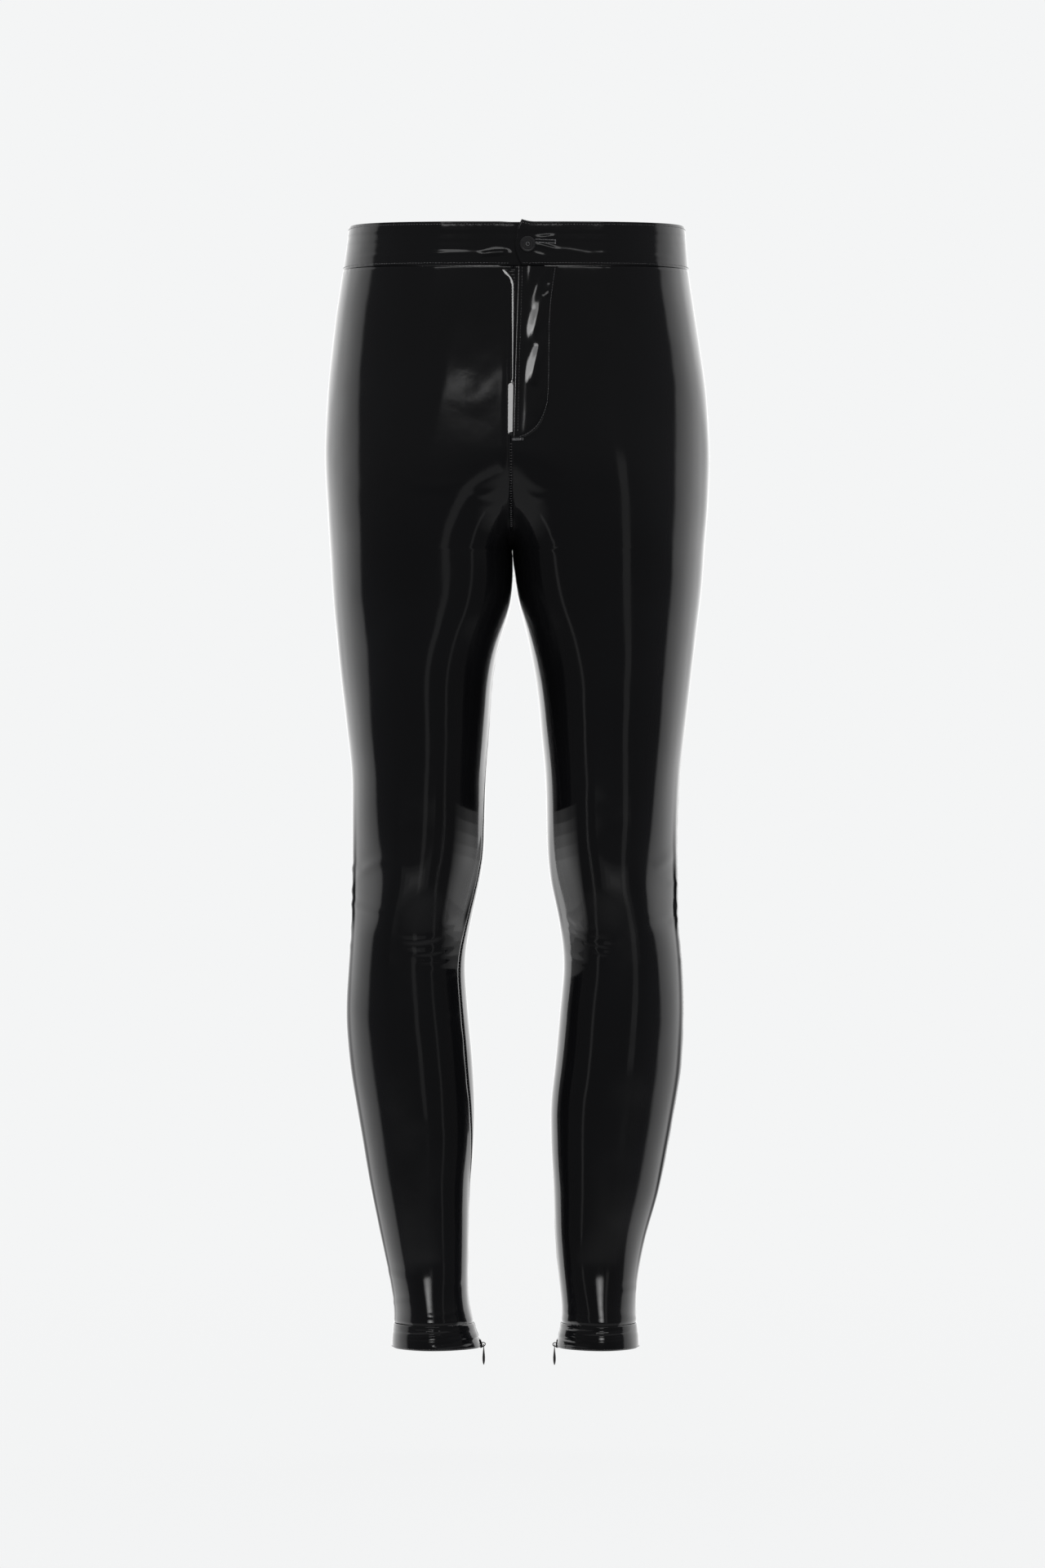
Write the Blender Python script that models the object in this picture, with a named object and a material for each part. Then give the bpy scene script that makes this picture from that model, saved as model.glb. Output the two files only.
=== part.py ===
"""Vinyl skinny trousers, filled out as worn: four leg panels, a two-part waistband that laps
left over right, a fly placket, a button, and hem bands with concealed ankle zips.

Metres, +Z up. The front faces -Y and the wearer's left is at +X. The origin is the middle of
the waistband's hollow. Tables and driving dimensions are in millimetres."""

import math

import bmesh
import bpy
import numpy as np
from mathutils import Matrix, Vector

MM = 0.001

# ---------------------------------------------------------------- driving dimensions, in mm
WALL = 1.2  # vinyl on its knitted backing
SEAM_GAP = 0.3  # between two pieces that meet
BAND_TOP = 20.0
BAND_BOTTOM = -20.0
BAND_WALL = 2.0  # two layers of vinyl
FRONT_DIP = 3.0  # how far the waist drops at the centre front
BACK_RISE = 6.0  # and rises at the centre back
DIP_FADE = 90.0  # below the waistband, over this height, the dip dies away
FORK_Z = -277.0  # where the four panels meet between the legs
FRONT_CURVE = 92.0  # height of the front crotch curve
BACK_CURVE = 150.0  # height of the back crotch curve
PANEL_BOTTOM = -981.5
HEM_Z = -1004.5
HEM_PROUD = 0.5  # the folded hem band stands this far out
HEM_WALL = 1.8
ROUNDNESS = 2.15  # exponent of the section's quarter curves; 2 is an ellipse
PRESSED_ROUNDNESS = 2.9  # the same at the fork, where the thighs press each other flatter
PRESSED_DEPTH = 120.0  # below the fork, over this height, they grow round again

# One row for each level. right_out to left_out are x of the legs' sides, and above the fork both
# inner values are x of the centre seam. front and back are the extreme y, side is the y of the
# inner and outer sides, and the crowns are how far from the inner side to the outer one the
# foremost and rearmost points lie.
SECTION_COLUMNS = (
    "z", "right_out", "right_in", "left_in", "left_out",
    "front", "back", "side", "front_crown", "back_crown",
)
SECTIONS = np.array([
    (20.0, -152.0, -2.0, -2.0, 154.0, -97.0, 99.0, 0.0, 0.22, 0.30),
    (-20.0, -158.0, -2.5, -2.5, 157.5, -101.0, 104.0, 0.0, 0.24, 0.32),
    (-70.0, -165.5, -3.2, -3.2, 165.0, -104.0, 112.0, 0.0, 0.29, 0.38),
    (-145.0, -173.0, -4.2, -4.2, 175.0, -106.0, 121.0, 1.0, 0.36, 0.43),
    (-190.0, -174.5, -4.5, -4.5, 177.0, -106.0, 121.0, 1.0, 0.41, 0.46),
    (-234.0, -172.5, -4.4, -4.4, 175.5, -104.0, 112.0, 0.0, 0.46, 0.48),
    (-277.0, -169.5, -3.4, -3.4, 172.0, -101.0, 99.0, -1.0, 0.48, 0.49),
    (-294.0, -168.5, -2.4, -1.5, 171.0, -99.5, 94.5, -2.0, 0.48, 0.50),
    (-324.0, -166.5, -4.0, 2.2, 168.0, -97.0, 87.5, -4.0, 0.48, 0.50),
    (-339.0, -165.0, -8.2, 6.7, 166.0, -96.0, 85.0, -5.0, 0.48, 0.50),
    (-369.0, -162.0, -17.2, 13.4, 162.5, -93.5, 80.0, -7.0, 0.48, 0.50),
    (-398.0, -159.0, -21.6, 18.7, 159.0, -91.5, 76.0, -8.0, 0.48, 0.50),
    (-443.0, -153.7, -24.6, 23.1, 153.7, -87.5, 70.0, -9.0, 0.48, 0.50),
    (-488.0, -149.3, -27.6, 26.9, 149.0, -83.0, 63.0, -10.0, 0.49, 0.50),
    (-548.0, -149.3, -28.4, 28.4, 147.0, -77.0, 54.0, -11.0, 0.50, 0.50),
    (-577.0, -150.0, -32.8, 31.3, 147.5, -74.0, 50.0, -12.0, 0.50, 0.50),
    (-607.0, -150.3, -39.6, 38.1, 147.5, -70.5, 47.5, -11.5, 0.51, 0.50),
    (-652.0, -153.0, -46.3, 43.3, 151.5, -64.5, 47.5, -8.5, 0.50, 0.50),
    (-697.0, -155.2, -43.3, 39.6, 153.0, -58.0, 53.0, -2.5, 0.48, 0.50),
    (-742.0, -152.2, -39.6, 35.8, 151.5, -52.0, 59.0, 3.5, 0.47, 0.48),
    (-786.0, -145.5, -37.3, 31.3, 144.8, -45.5, 61.0, 7.5, 0.47, 0.48),
    (-816.0, -140.3, -38.1, 32.1, 139.6, -41.0, 60.0, 9.5, 0.47, 0.48),
    (-861.0, -132.8, -42.5, 34.3, 130.6, -34.0, 58.0, 12.0, 0.48, 0.50),
    (-906.0, -123.1, -43.3, 35.8, 118.0, -26.5, 57.0, 15.0, 0.50, 0.50),
    (-951.0, -114.2, -44.0, 40.3, 110.6, -18.5, 59.0, 20.0, 0.52, 0.50),
    (-974.5, -111.4, -41.0, 42.5, 109.7, -15.0, 61.0, 23.0, 0.53, 0.50),
    (-984.0, -112.5, -38.0, 41.0, 111.0, -13.5, 62.5, 24.5, 0.54, 0.50),
    (-1004.5, -112.7, -31.5, 37.5, 112.0, -12.0, 65.0, 26.5, 0.55, 0.50),
])

# How far round the leg, in mm along the cloth, the seams have turned: the right leg's inseam
# comes to the front, and so does the left leg's outseam.
TURN_COLUMNS = ("z", "right", "left")
SEAM_TURN = np.array([
    (-320.0, 0.0, 0.0),
    (-443.0, 8.0, -3.0),
    (-520.0, 18.0, -6.0),
    (-607.0, 22.0, -6.0),
    (-667.0, 28.0, -6.0),
    (-742.0, 28.0, -6.0),
    (-816.0, 17.0, -5.0),
    (-861.0, 5.0, -3.0),
    (-906.0, 0.0, 0.0),
    (-1004.5, 0.0, 0.0),
])

# Fly placket: its lapped edge and its J-shaped sewn edge, as x at each level.
FLY_COLUMNS = ("z", "edge", "sewn")
FLY = np.array([
    (-25.5, 1.9, 37.4),
    (-38.0, 1.6, 35.2),
    (-56.0, 1.0, 33.0),
    (-80.0, 0.2, 31.7),
    (-107.0, -0.6, 31.4),
    (-131.0, -1.2, 31.0),
    (-146.0, -1.6, 29.8),
    (-157.0, -1.9, 26.6),
    (-166.0, -2.1, 21.8),
    (-172.5, -2.2, 16.0),
    (-176.5, -2.3, 9.5),
    (-178.5, -2.3, 4.0),
])
FLY_WALL = 1.2
FLY_PUFF = 1.2  # the facing behind it pushes the middle of the placket out

BAND_END_TOP = 5.2  # x of the lapped end of the waistband at its top, middle and bottom
BAND_END_MIDDLE = -0.6
BAND_END_BOTTOM = 5.6
BAND_TIP = 2.2  # the corner of that end stands up
UNDERLAP_END = 26.0  # x where the waistband's under end stops
TUCK_START = -16.0  # x where the under end begins to sink behind the upper one

BUTTON_X, BUTTON_Z = 10.7, -3.6
BUTTON_RADIUS = 7.1
BUTTON_THICK = 2.6
BUTTON_HOLE_RADIUS = 0.8
BUTTON_HOLE_OFFSET = 1.35

ZIP_TOP = -862.0
ZIP_BOTTOM = -1003.5
TAPE_HALF_WIDTH = 11.0
TAPE_WALL = 0.8
TAPE_BEHIND = 0.7  # from the inside of the cloth to the tape, which bends in longer steps
CHAIN_WALL = 2.0
ZIP_SLOT = 3.4  # half the gap between a hem band's two ends
SLIDER_WIDTH, SLIDER_THICK, SLIDER_HEIGHT = 5.4, 2.6, 8.2
SLIDER_LOW = -1005.2  # a little below the hem
SLIDER_FACE = 1.5  # out from the cloth's surface
FOOT_ROUND, NOSE_ROUND = 0.6, 1.2
CROWN_WIDTH = 1.3  # the slider's arch, which traps the pull tab
CROWN_REACH = 3.1
CROWN_HEIGHT = 4.6
CROWN_STRIP = 0.9
CROWN_SUNK = 0.3  # its ends run into the slider
CROWN_FLOOR = 0.12  # from the slider's face to the arch's opening
PIN_RADIUS = 0.5  # the pull tab's cross bar
PIN_OUT = 1.15  # its axis, out from the slider's face
PIN_UP = 1.9  # and up from the crown's foot
EYE_LENGTH = 3.3  # opening under the cross bar, for the arch
EYE_WIDTH = 2.2
EYE_CORNER = 0.4
TAB_SIDES = 12
TAB_COLUMNS = ("down", "half_width", "half_thick")
TAB = np.array([  # the plump drop, from the top of the cross bar downwards
    (-0.50, 1.48, 0.28),
    (-0.25, 1.85, 0.50),
    (0.50, 1.85, 0.50),
    (2.80, 1.81, 0.50),
    (4.20, 1.74, 0.65),
    (7.80, 1.92, 1.01),
    (11.80, 2.40, 1.40),
    (14.90, 2.21, 1.29),
    (17.20, 1.49, 0.84),
    (18.50, 0.58, 0.34),
])

FRONT_COLUMNS = 12
BACK_COLUMNS = 13
RING_POINTS = 26  # sample points in each quarter of a section

COLOURS = {  # base colour, roughness, metallic
    "vinyl": ((0.006, 0.006, 0.007), 0.08, 0.0),
    "button": ((0.012, 0.012, 0.013), 0.42, 0.0),
    "tape": ((0.010, 0.010, 0.011), 0.85, 0.0),
    "zip_metal": ((0.014, 0.014, 0.015), 0.35, 0.0),
}


# ---------------------------------------------------------------- curves through the tables
def smooth_value(z, levels, values):
    """Monotone cubic through a table that runs downwards, so it never overshoots a row."""
    x, y = -np.asarray(levels), np.asarray(values)
    step, slope = np.diff(x), np.diff(y) / np.diff(x)
    same_way = slope[:-1] * slope[1:] > 0
    w1, w2 = 2 * step[1:] + step[:-1], step[1:] + 2 * step[:-1]
    safe_low = np.where(same_way, slope[:-1], 1.0)
    safe_high = np.where(same_way, slope[1:], 1.0)
    inner = np.where(same_way, (w1 + w2) / (w1 / safe_low + w2 / safe_high), 0.0)
    tangent = np.concatenate([slope[:1], inner, slope[-1:]])
    at = np.clip(-np.asarray(z, float), x[0], x[-1])
    k = np.clip(np.searchsorted(x, at) - 1, 0, len(step) - 1)
    t = (at - x[k]) / step[k]
    return (
        y[k] * (1 + 2 * t) * (1 - t) ** 2
        + tangent[k] * step[k] * t * (1 - t) ** 2
        + y[k + 1] * t * t * (3 - 2 * t)
        + tangent[k + 1] * step[k] * t * t * (t - 1)
    )


def column(z, name):
    return smooth_value(z, SECTIONS[:, 0], SECTIONS[:, SECTION_COLUMNS.index(name)])


def smooth_step(value):
    t = np.clip(value, 0.0, 1.0)
    return t * t * (3 - 2 * t)


def crotch_share(z, height):
    """0 at the fork and 1 where the crotch curve ends: a quarter ellipse in the middle plane."""
    up = np.clip((np.asarray(z, float) - FORK_Z) / height, 0.0, 1.0)
    return np.sqrt(1.0 - (1.0 - up) ** 2)


def inner_quarter(seam_x, crown, middle, share, power):
    """From the inner side to the crown: a quarter superellipse that is cut off at the seam.
    share is 0 for a whole quarter, as on a leg, and 1 for flat cloth, as above the crotch."""
    across = np.cos(np.linspace(0.0, math.pi / 2, RING_POINTS + 1)) ** (2.0 / power)
    cut = (1.0 - share**power) ** (1.0 / power)
    depth = (1.0 - (cut * across) ** power) ** (1.0 / power)
    x = crown[0] + (seam_x - crown[0]) * across
    return np.stack([x, middle + (crown[1] - middle) * depth], axis=1)


def outer_quarter(crown, outer, middle):
    """From the crown to the outer side: a quarter superellipse."""
    angle = np.linspace(0.0, math.pi / 2, RING_POINTS + 1)
    x = crown[0] + (outer - crown[0]) * np.sin(angle) ** (2.0 / ROUNDNESS)
    depth = np.cos(angle) ** (2.0 / ROUNDNESS)
    return np.stack([x, middle + (crown[1] - middle) * depth], axis=1)


def section(z, side):
    """Outline of one leg's half of the garment at a level, from the inner side round the front,
    outside and back to the inner side again. side is 1 on the wearer's left and -1 on the right."""
    leg = "left" if side > 0 else "right"
    inner = column(z, leg + "_in") + side * SEAM_GAP / 2
    outer, middle = column(z, leg + "_out"), column(z, "side")
    pressed = smooth_step(1.0 - (FORK_Z - z) / PRESSED_DEPTH)
    power = ROUNDNESS + (PRESSED_ROUNDNESS - ROUNDNESS) * pressed
    halves = []
    for face, height in (("front", FRONT_CURVE), ("back", BACK_CURVE)):
        crown_x = inner + (outer - inner) * column(z, face + "_crown")
        crown = (crown_x, column(z, face))
        inside = inner_quarter(inner, crown, middle, crotch_share(z, height), power)
        halves.append(np.concatenate([inside, outer_quarter(crown, outer, middle)[1:]]))
    return np.concatenate([halves[0], halves[1][-2::-1]])


def waist_lift(y, z, front, back):
    """How far a point is lowered at the front and raised at the back, near the waistband."""
    fade = smooth_step((z - (BAND_BOTTOM - DIP_FADE)) / DIP_FADE)
    forward = np.clip(y / front, 0.0, 1.0) ** 2
    backward = np.clip(y / back, 0.0, 1.0) ** 2
    return fade * (BACK_RISE * backward - FRONT_DIP * forward)


def surface(levels, side):
    """Grid of points of one leg's outer surface, its outward normals, and each row's distance
    along the cloth from the inner side. A row below the fork closes on itself."""
    rows = np.array([section(z, side) for z in levels])
    points = np.concatenate([rows, np.zeros(rows.shape[:2] + (1,))], axis=2)
    for row, z in enumerate(levels):
        front, back = column(z, "front"), column(z, "back")
        points[row, :, 2] = z + waist_lift(points[row, :, 1], z, front, back)
    along = np.gradient(points, axis=1)
    closed = np.asarray(levels) <= FORK_Z
    wrap = points[:, 1] - points[:, -2]
    along[closed, 0] = wrap[closed]
    along[closed, -1] = wrap[closed]
    down = np.gradient(points, axis=0)
    normal = np.cross(down, along) * side
    normal /= np.linalg.norm(normal, axis=2, keepdims=True)
    length = np.linalg.norm(np.diff(rows, axis=1), axis=2)
    distance = np.concatenate([np.zeros((len(rows), 1)), np.cumsum(length, axis=1)], axis=1)
    return points, normal, distance


def sample(row_points, distance, wanted, closed):
    """Values of a row at distances along it, going on round the ring where it is closed."""
    total = distance[-1]
    if closed:
        distance = np.concatenate([distance[:-1] - total, distance, distance[1:] + total])
        row_points = np.concatenate([row_points[:-1], row_points, row_points[1:]])
    return np.stack([np.interp(wanted, distance, row_points[:, k]) for k in range(3)], axis=1)


def turn_of(z, side):
    name = "left" if side > 0 else "right"
    return smooth_value(z, SEAM_TURN[:, 0], SEAM_TURN[:, TURN_COLUMNS.index(name)])


def strip_of(levels, side, bounds, columns):
    """Points and normals of a piece of cloth between two distances along each row. bounds takes
    (outseam distance, whole distance, turn) and gives where the piece starts and ends."""
    points, normal, distance = surface(levels, side)
    grid, normals = [], []
    for row, z in enumerate(levels):
        closed = z <= FORK_Z
        outseam = distance[row, 2 * RING_POINTS]
        start, end = bounds(outseam, distance[row, -1], turn_of(z, side))
        wanted = np.linspace(start, end, columns + 1)
        grid.append(sample(points[row], distance[row], wanted, closed))
        normals.append(sample(normal[row], distance[row], wanted, closed))
    normals = np.array(normals)
    return np.array(grid), normals / np.linalg.norm(normals, axis=2, keepdims=True)


# ---------------------------------------------------------------- meshes
def add_object(name, mesh, colour):
    obj = bpy.data.objects.new(name, mesh)
    bpy.context.scene.collection.objects.link(obj)
    base, roughness, metallic = COLOURS[colour]
    material = bpy.data.materials.new(name)
    material.use_nodes = True
    shader = material.node_tree.nodes["Principled BSDF"]
    shader.inputs["Base Color"].default_value = (*base, 1.0)
    shader.inputs["Roughness"].default_value = roughness
    shader.inputs["Metallic"].default_value = metallic
    mesh.materials.append(material)
    mesh.shade_smooth()
    mesh.set_sharp_from_angle(angle=math.radians(40))
    return obj


def mesh_from(name, points, faces):
    """A mesh in metres from points in millimetres, with its faces turned outwards."""
    mesh = bpy.data.meshes.new(name)
    mesh.from_pydata((np.asarray(points, float) * MM).tolist(), [], faces)
    work = bmesh.new()
    work.from_mesh(mesh)
    bmesh.ops.recalc_face_normals(work, faces=work.faces)
    if work.calc_volume(signed=True) < 0:
        bmesh.ops.reverse_faces(work, faces=work.faces)
    work.to_mesh(mesh)
    work.free()
    return mesh


def wall(name, outside, inside, colour):
    """A closed wall of cloth between two grids of the same size."""
    rows, columns = outside.shape[:2]
    index = np.arange(rows * columns).reshape(rows, columns)
    back = index + rows * columns
    quads = np.stack([index[:-1, :-1], index[:-1, 1:], index[1:, 1:], index[1:, :-1]], axis=2)
    faces = quads.reshape(-1, 4).tolist()
    faces += (quads.reshape(-1, 4)[:, ::-1] + rows * columns).tolist()
    rim = np.concatenate([index[0, :-1], index[:-1, -1], index[-1, :0:-1], index[:0:-1, 0]])
    rim_back = np.concatenate([back[0, :-1], back[:-1, -1], back[-1, :0:-1], back[:0:-1, 0]])
    faces += np.stack([np.roll(rim, -1), rim, rim_back, np.roll(rim_back, -1)], axis=1).tolist()
    points = np.concatenate([outside.reshape(-1, 3), inside.reshape(-1, 3)])
    return add_object(name, mesh_from(name, points, faces), colour)


def stay_on_side(points, side, levels):
    """Keeps a panel on its own side of the centre seam above the fork."""
    kept = points.copy()
    for row, z in enumerate(levels):
        if z >= FORK_Z:
            seam = column(z, "left_in") + side * SEAM_GAP / 2
            kept[row, :, 0] = side * np.maximum(side * kept[row, :, 0], side * seam)
    return kept


# ---------------------------------------------------------------- leg panels
def panel_levels():
    """Levels of the panels' rows, closer together round the crotch curve and the knee."""
    top = BAND_BOTTOM - SEAM_GAP
    curve_top = FORK_Z + FRONT_CURVE
    torso = np.linspace(top, curve_top, 6)[:-1]
    angle = np.linspace(0.0, math.pi / 2, 8)
    crotch = FORK_Z + FRONT_CURVE * (1.0 - np.sin(angle))
    thigh = np.array([-284.0, -294.0, -308.0, -324.0, -345.0, -372.0, -405.0, -445.0, -490.0])
    shin = np.array([-535.0, -572.0, -604.0, -630.0, -655.0, -690.0, -735.0, -780.0, -822.0])
    ankle = np.array([-862.0, -900.0, -935.0, -962.0, PANEL_BOTTOM])
    return np.concatenate([torso, crotch, thigh, shin, ankle])


def make_panels():
    levels = panel_levels()
    half = SEAM_GAP / 2

    def front_bounds(outseam, _whole, turn):
        return turn + half, outseam + turn - half

    def back_bounds(outseam, whole, turn):
        return outseam + turn + half, whole + turn - half

    for side, leg in ((1, "left"), (-1, "right")):
        for face, bounds, columns in (
            ("front", front_bounds, FRONT_COLUMNS),
            ("back", back_bounds, BACK_COLUMNS),
        ):
            outside, normal = strip_of(levels, side, bounds, columns)
            inside = stay_on_side(outside - normal * WALL, side, levels)
            wall(f"{face}_{leg}", stay_on_side(outside, side, levels), inside, "vinyl")


# ---------------------------------------------------------------- waistband
def band_end_x(z):
    """x of the lapped end: it bulges forward at the middle of the band's height."""
    height = (z - BAND_BOTTOM) / (BAND_TOP - BAND_BOTTOM)
    straight = BAND_END_BOTTOM + (BAND_END_TOP - BAND_END_BOTTOM) * height
    return BAND_END_MIDDLE + (straight - BAND_END_MIDDLE) * (2 * height - 1) ** 2


def half_band(levels, side, front_end, columns):
    """Rows of the waistband's outline from the centre back to front_end(z) at the front, in
    even steps, with the normals in plan."""
    rows = []
    for z in levels:
        outline = section(z, side)[::-1]
        front = column(z, "front")
        end = front_end(z)
        if side * end < side * outline[-1, 0]:
            extra = np.linspace(outline[-1, 0], end, 12)[1:]
            outline = np.concatenate([outline, np.stack([extra, np.full(11, front)], axis=1)])
        else:
            flat = outline[:, 1] > front * 0.9
            outline = outline[flat | (side * outline[:, 0] > side * end)]
            outline = np.concatenate([outline, [(end, front)]])
        step = np.linalg.norm(np.diff(outline, axis=0), axis=1)
        distance = np.concatenate([[0.0], np.cumsum(step)])
        wanted = np.linspace(0.0, distance[-1], columns + 1)
        rows.append(np.stack([np.interp(wanted, distance, outline[:, k]) for k in (0, 1)], axis=1))
    rows = np.array(rows)
    along = np.gradient(rows, axis=1)
    normal = np.stack([along[:, :, 1], -along[:, :, 0]], axis=2) * -side
    normal /= np.linalg.norm(normal, axis=2, keepdims=True)
    return rows, normal


def lifted(rows, levels):
    """Gives plan rows their heights, with the dip at the front and the rise at the back."""
    points = np.concatenate([rows, np.zeros(rows.shape[:2] + (1,))], axis=2)
    for row, z in enumerate(levels):
        front, back = column(z, "front"), column(z, "back")
        points[row, :, 2] = z + waist_lift(rows[row, :, 1], z, front, back)
    return points


def make_waistband():
    levels = np.linspace(BAND_TOP, BAND_BOTTOM, 5)

    rows, normal = half_band(levels, 1, band_end_x, 24)
    outside, inside = lifted(rows, levels), lifted(rows - normal * BAND_WALL, levels)
    tip = np.clip(1.0 - (rows[0, :, 0] - BAND_END_TOP) / 12.0, 0.0, 1.0) ** 2
    tip = np.where(rows[0, :, 1] < 0, tip, 0.0) * BAND_TIP
    outside[0, :, 2] += tip
    inside[0, :, 2] += tip
    wall("waistband_left", outside, inside, "vinyl")

    rows, normal = half_band(levels, -1, lambda z: UNDERLAP_END, 28)
    tuck = smooth_step((rows[:, :, 0] - TUCK_START) / (BAND_END_MIDDLE - 2.0 - TUCK_START))
    tuck = np.where(rows[:, :, 1] < 0, tuck, 0.0) * (BAND_WALL + SEAM_GAP)
    top = rows - normal * tuck[:, :, None]
    outside, inside = lifted(top, levels), lifted(top - normal * BAND_WALL, levels)
    wall("waistband_right", outside, inside, "vinyl")


# ---------------------------------------------------------------- fly placket
def make_fly():
    """Lies on the left front: the front's own surface moved out, from the lapped edge to the J."""
    levels = np.concatenate([np.linspace(-25.5, -140.0, 8), FLY[6:, 0]])
    edge = smooth_value(levels, FLY[:, 0], FLY[:, FLY_COLUMNS.index("edge")])
    sewn = smooth_value(levels, FLY[:, 0], FLY[:, FLY_COLUMNS.index("sewn")])
    across = np.linspace(0.0, 1.0, 9)
    grid = np.zeros((len(levels), len(across), 3))
    puff = np.zeros((len(levels), len(across)))
    for row, z in enumerate(levels):
        x = edge[row] + (sewn[row] - edge[row]) * across
        front, side_y = column(z, "front"), column(z, "side")
        seam = column(z, "left_in")
        crown = seam + (column(z, "left_out") - seam) * column(z, "front_crown")
        beyond = np.clip((x - crown) / (column(z, "left_out") - crown), 0.0, 1.0)
        curve = (1.0 - beyond**ROUNDNESS) ** (1.0 / ROUNDNESS)
        grid[row, :, 0] = x
        grid[row, :, 1] = side_y + (front - side_y) * curve
        grid[row, :, 2] = z + waist_lift(grid[row, :, 1], z, front, column(z, "back"))
        width_share = (sewn[row] - edge[row]) / (FLY[0, 2] - FLY[0, 1])
        puff[row] = np.sin(math.pi * across) * FLY_PUFF * width_share
    outward = np.array([0.0, -1.0, 0.0])
    inside = grid + outward * SEAM_GAP
    outside = grid + outward * (SEAM_GAP + FLY_WALL + puff[:, :, None])
    wall("fly_placket", outside, inside, "vinyl")


# ---------------------------------------------------------------- button
def cutter(name, mesh):
    obj = bpy.data.objects.new(name, mesh)
    bpy.context.scene.collection.objects.link(obj)
    obj.hide_render = True
    obj.display_type = "WIRE"
    return obj


def combine(obj, other, operation):
    modifier = obj.modifiers.new(other.name, "BOOLEAN")
    modifier.operation = operation
    modifier.object = other


def turned(name, profile, steps):
    """A closed turned solid from (radius, height) points, the first and last on the axis."""
    rings = [(r, h) for r, h in profile[1:-1]]
    angle = np.arange(steps) * 2 * math.pi / steps
    points = [(0.0, 0.0, profile[0][1]), (0.0, 0.0, profile[-1][1])]
    for r, h in rings:
        points += np.stack([r * np.cos(angle), r * np.sin(angle), np.full(steps, h)], 1).tolist()
    faces = []
    for k in range(steps):
        n = (k + 1) % steps
        faces.append((0, 2 + k, 2 + n))
        for ring in range(len(rings) - 1):
            low, high = 2 + ring * steps, 2 + (ring + 1) * steps
            faces.append((low + k, high + k, high + n, low + n))
        last = 2 + (len(rings) - 1) * steps
        faces.append((1, last + n, last + k))
    return mesh_from(name, points, faces)


def make_button():
    """Four-hole sew-through button with a rounded rim and a dished middle."""
    rim, dish = BUTTON_RADIUS, BUTTON_RADIUS * 0.62
    thick = BUTTON_THICK
    profile = [
        (0.0, 0.0), (rim - 1.4, 0.0), (rim - 0.35, 0.5), (rim, thick * 0.5),
        (rim - 0.35, thick - 0.3), (rim - 1.1, thick), (rim - 1.9, thick - 0.15),
        (dish, thick - 0.9), (0.0, thick - 1.0),
    ]
    obj = add_object("button", turned("button", profile, 36), "button")
    face_y = column(BUTTON_Z, "front")
    obj.rotation_euler = (math.radians(90), 0.0, 0.0)
    obj.location = Vector((BUTTON_X, face_y - SEAM_GAP, BUTTON_Z)) * MM
    for number, (right, up) in enumerate(((1, 1), (-1, 1), (-1, -1), (1, -1))):
        hole = [(0.0, -1.0), (BUTTON_HOLE_RADIUS, -1.0), (BUTTON_HOLE_RADIUS, thick + 1.0),
                (0.0, thick + 1.0)]
        tool = cutter(f"button_hole_{number}", turned(f"button_hole_{number}", hole, 10))
        tool.parent = obj
        tool.location = Vector((right, up, 0.0)) * BUTTON_HOLE_OFFSET * MM
        combine(obj, tool, "DIFFERENCE")


# ---------------------------------------------------------------- ankles
def make_hem_bands():
    levels = np.linspace(PANEL_BOTTOM - SEAM_GAP, HEM_Z, 4)

    def bounds(_outseam, whole, _turn):
        return ZIP_SLOT, whole - ZIP_SLOT

    for side, leg in ((1, "left"), (-1, "right")):
        middle, normal = strip_of(levels, side, bounds, 24)
        normal[:, :, 2] = 0.0
        outside = middle + normal * HEM_PROUD
        inside = middle - normal * (HEM_WALL - HEM_PROUD)
        wall(f"hem_band_{leg}", outside, inside, "vinyl")


def make_ankle_zips():
    panel_rows = panel_levels()
    levels = np.append(panel_rows[panel_rows <= ZIP_TOP], [-992.0, ZIP_BOTTOM])

    def bounds(_outseam, _whole, _turn):
        return -TAPE_HALF_WIDTH, TAPE_HALF_WIDTH

    depth = np.array([TAPE_WALL, TAPE_WALL, CHAIN_WALL, CHAIN_WALL, TAPE_WALL, TAPE_WALL])
    for side, leg in ((1, "left"), (-1, "right")):
        middle, normal = strip_of(levels, side, bounds, 5)
        outside = middle - normal * (WALL + TAPE_BEHIND)
        inside = outside - normal * depth[None, :, None]
        wall(f"ankle_zip_{leg}", outside, inside, "tape")


def zip_frame(side):
    """Place of a slider: its foot on the zip at SLIDER_LOW, x across the zip, y out of the leg
    and z up along the zip, as a matrix in metres."""
    levels = np.array([SLIDER_LOW + 20.0, SLIDER_LOW + 8.0, SLIDER_LOW, HEM_Z])
    points, normal, _ = surface(levels, side)
    foot, out = Vector(points[2, 0]), Vector(normal[2, 0])
    up = (Vector(points[1, 0]) - foot).normalized()
    out = (out - up * out.dot(up)).normalized()
    across = out.cross(up).normalized()
    place = Matrix((across, out, up)).transposed().to_4x4()
    place.translation = foot * MM
    return place


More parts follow.
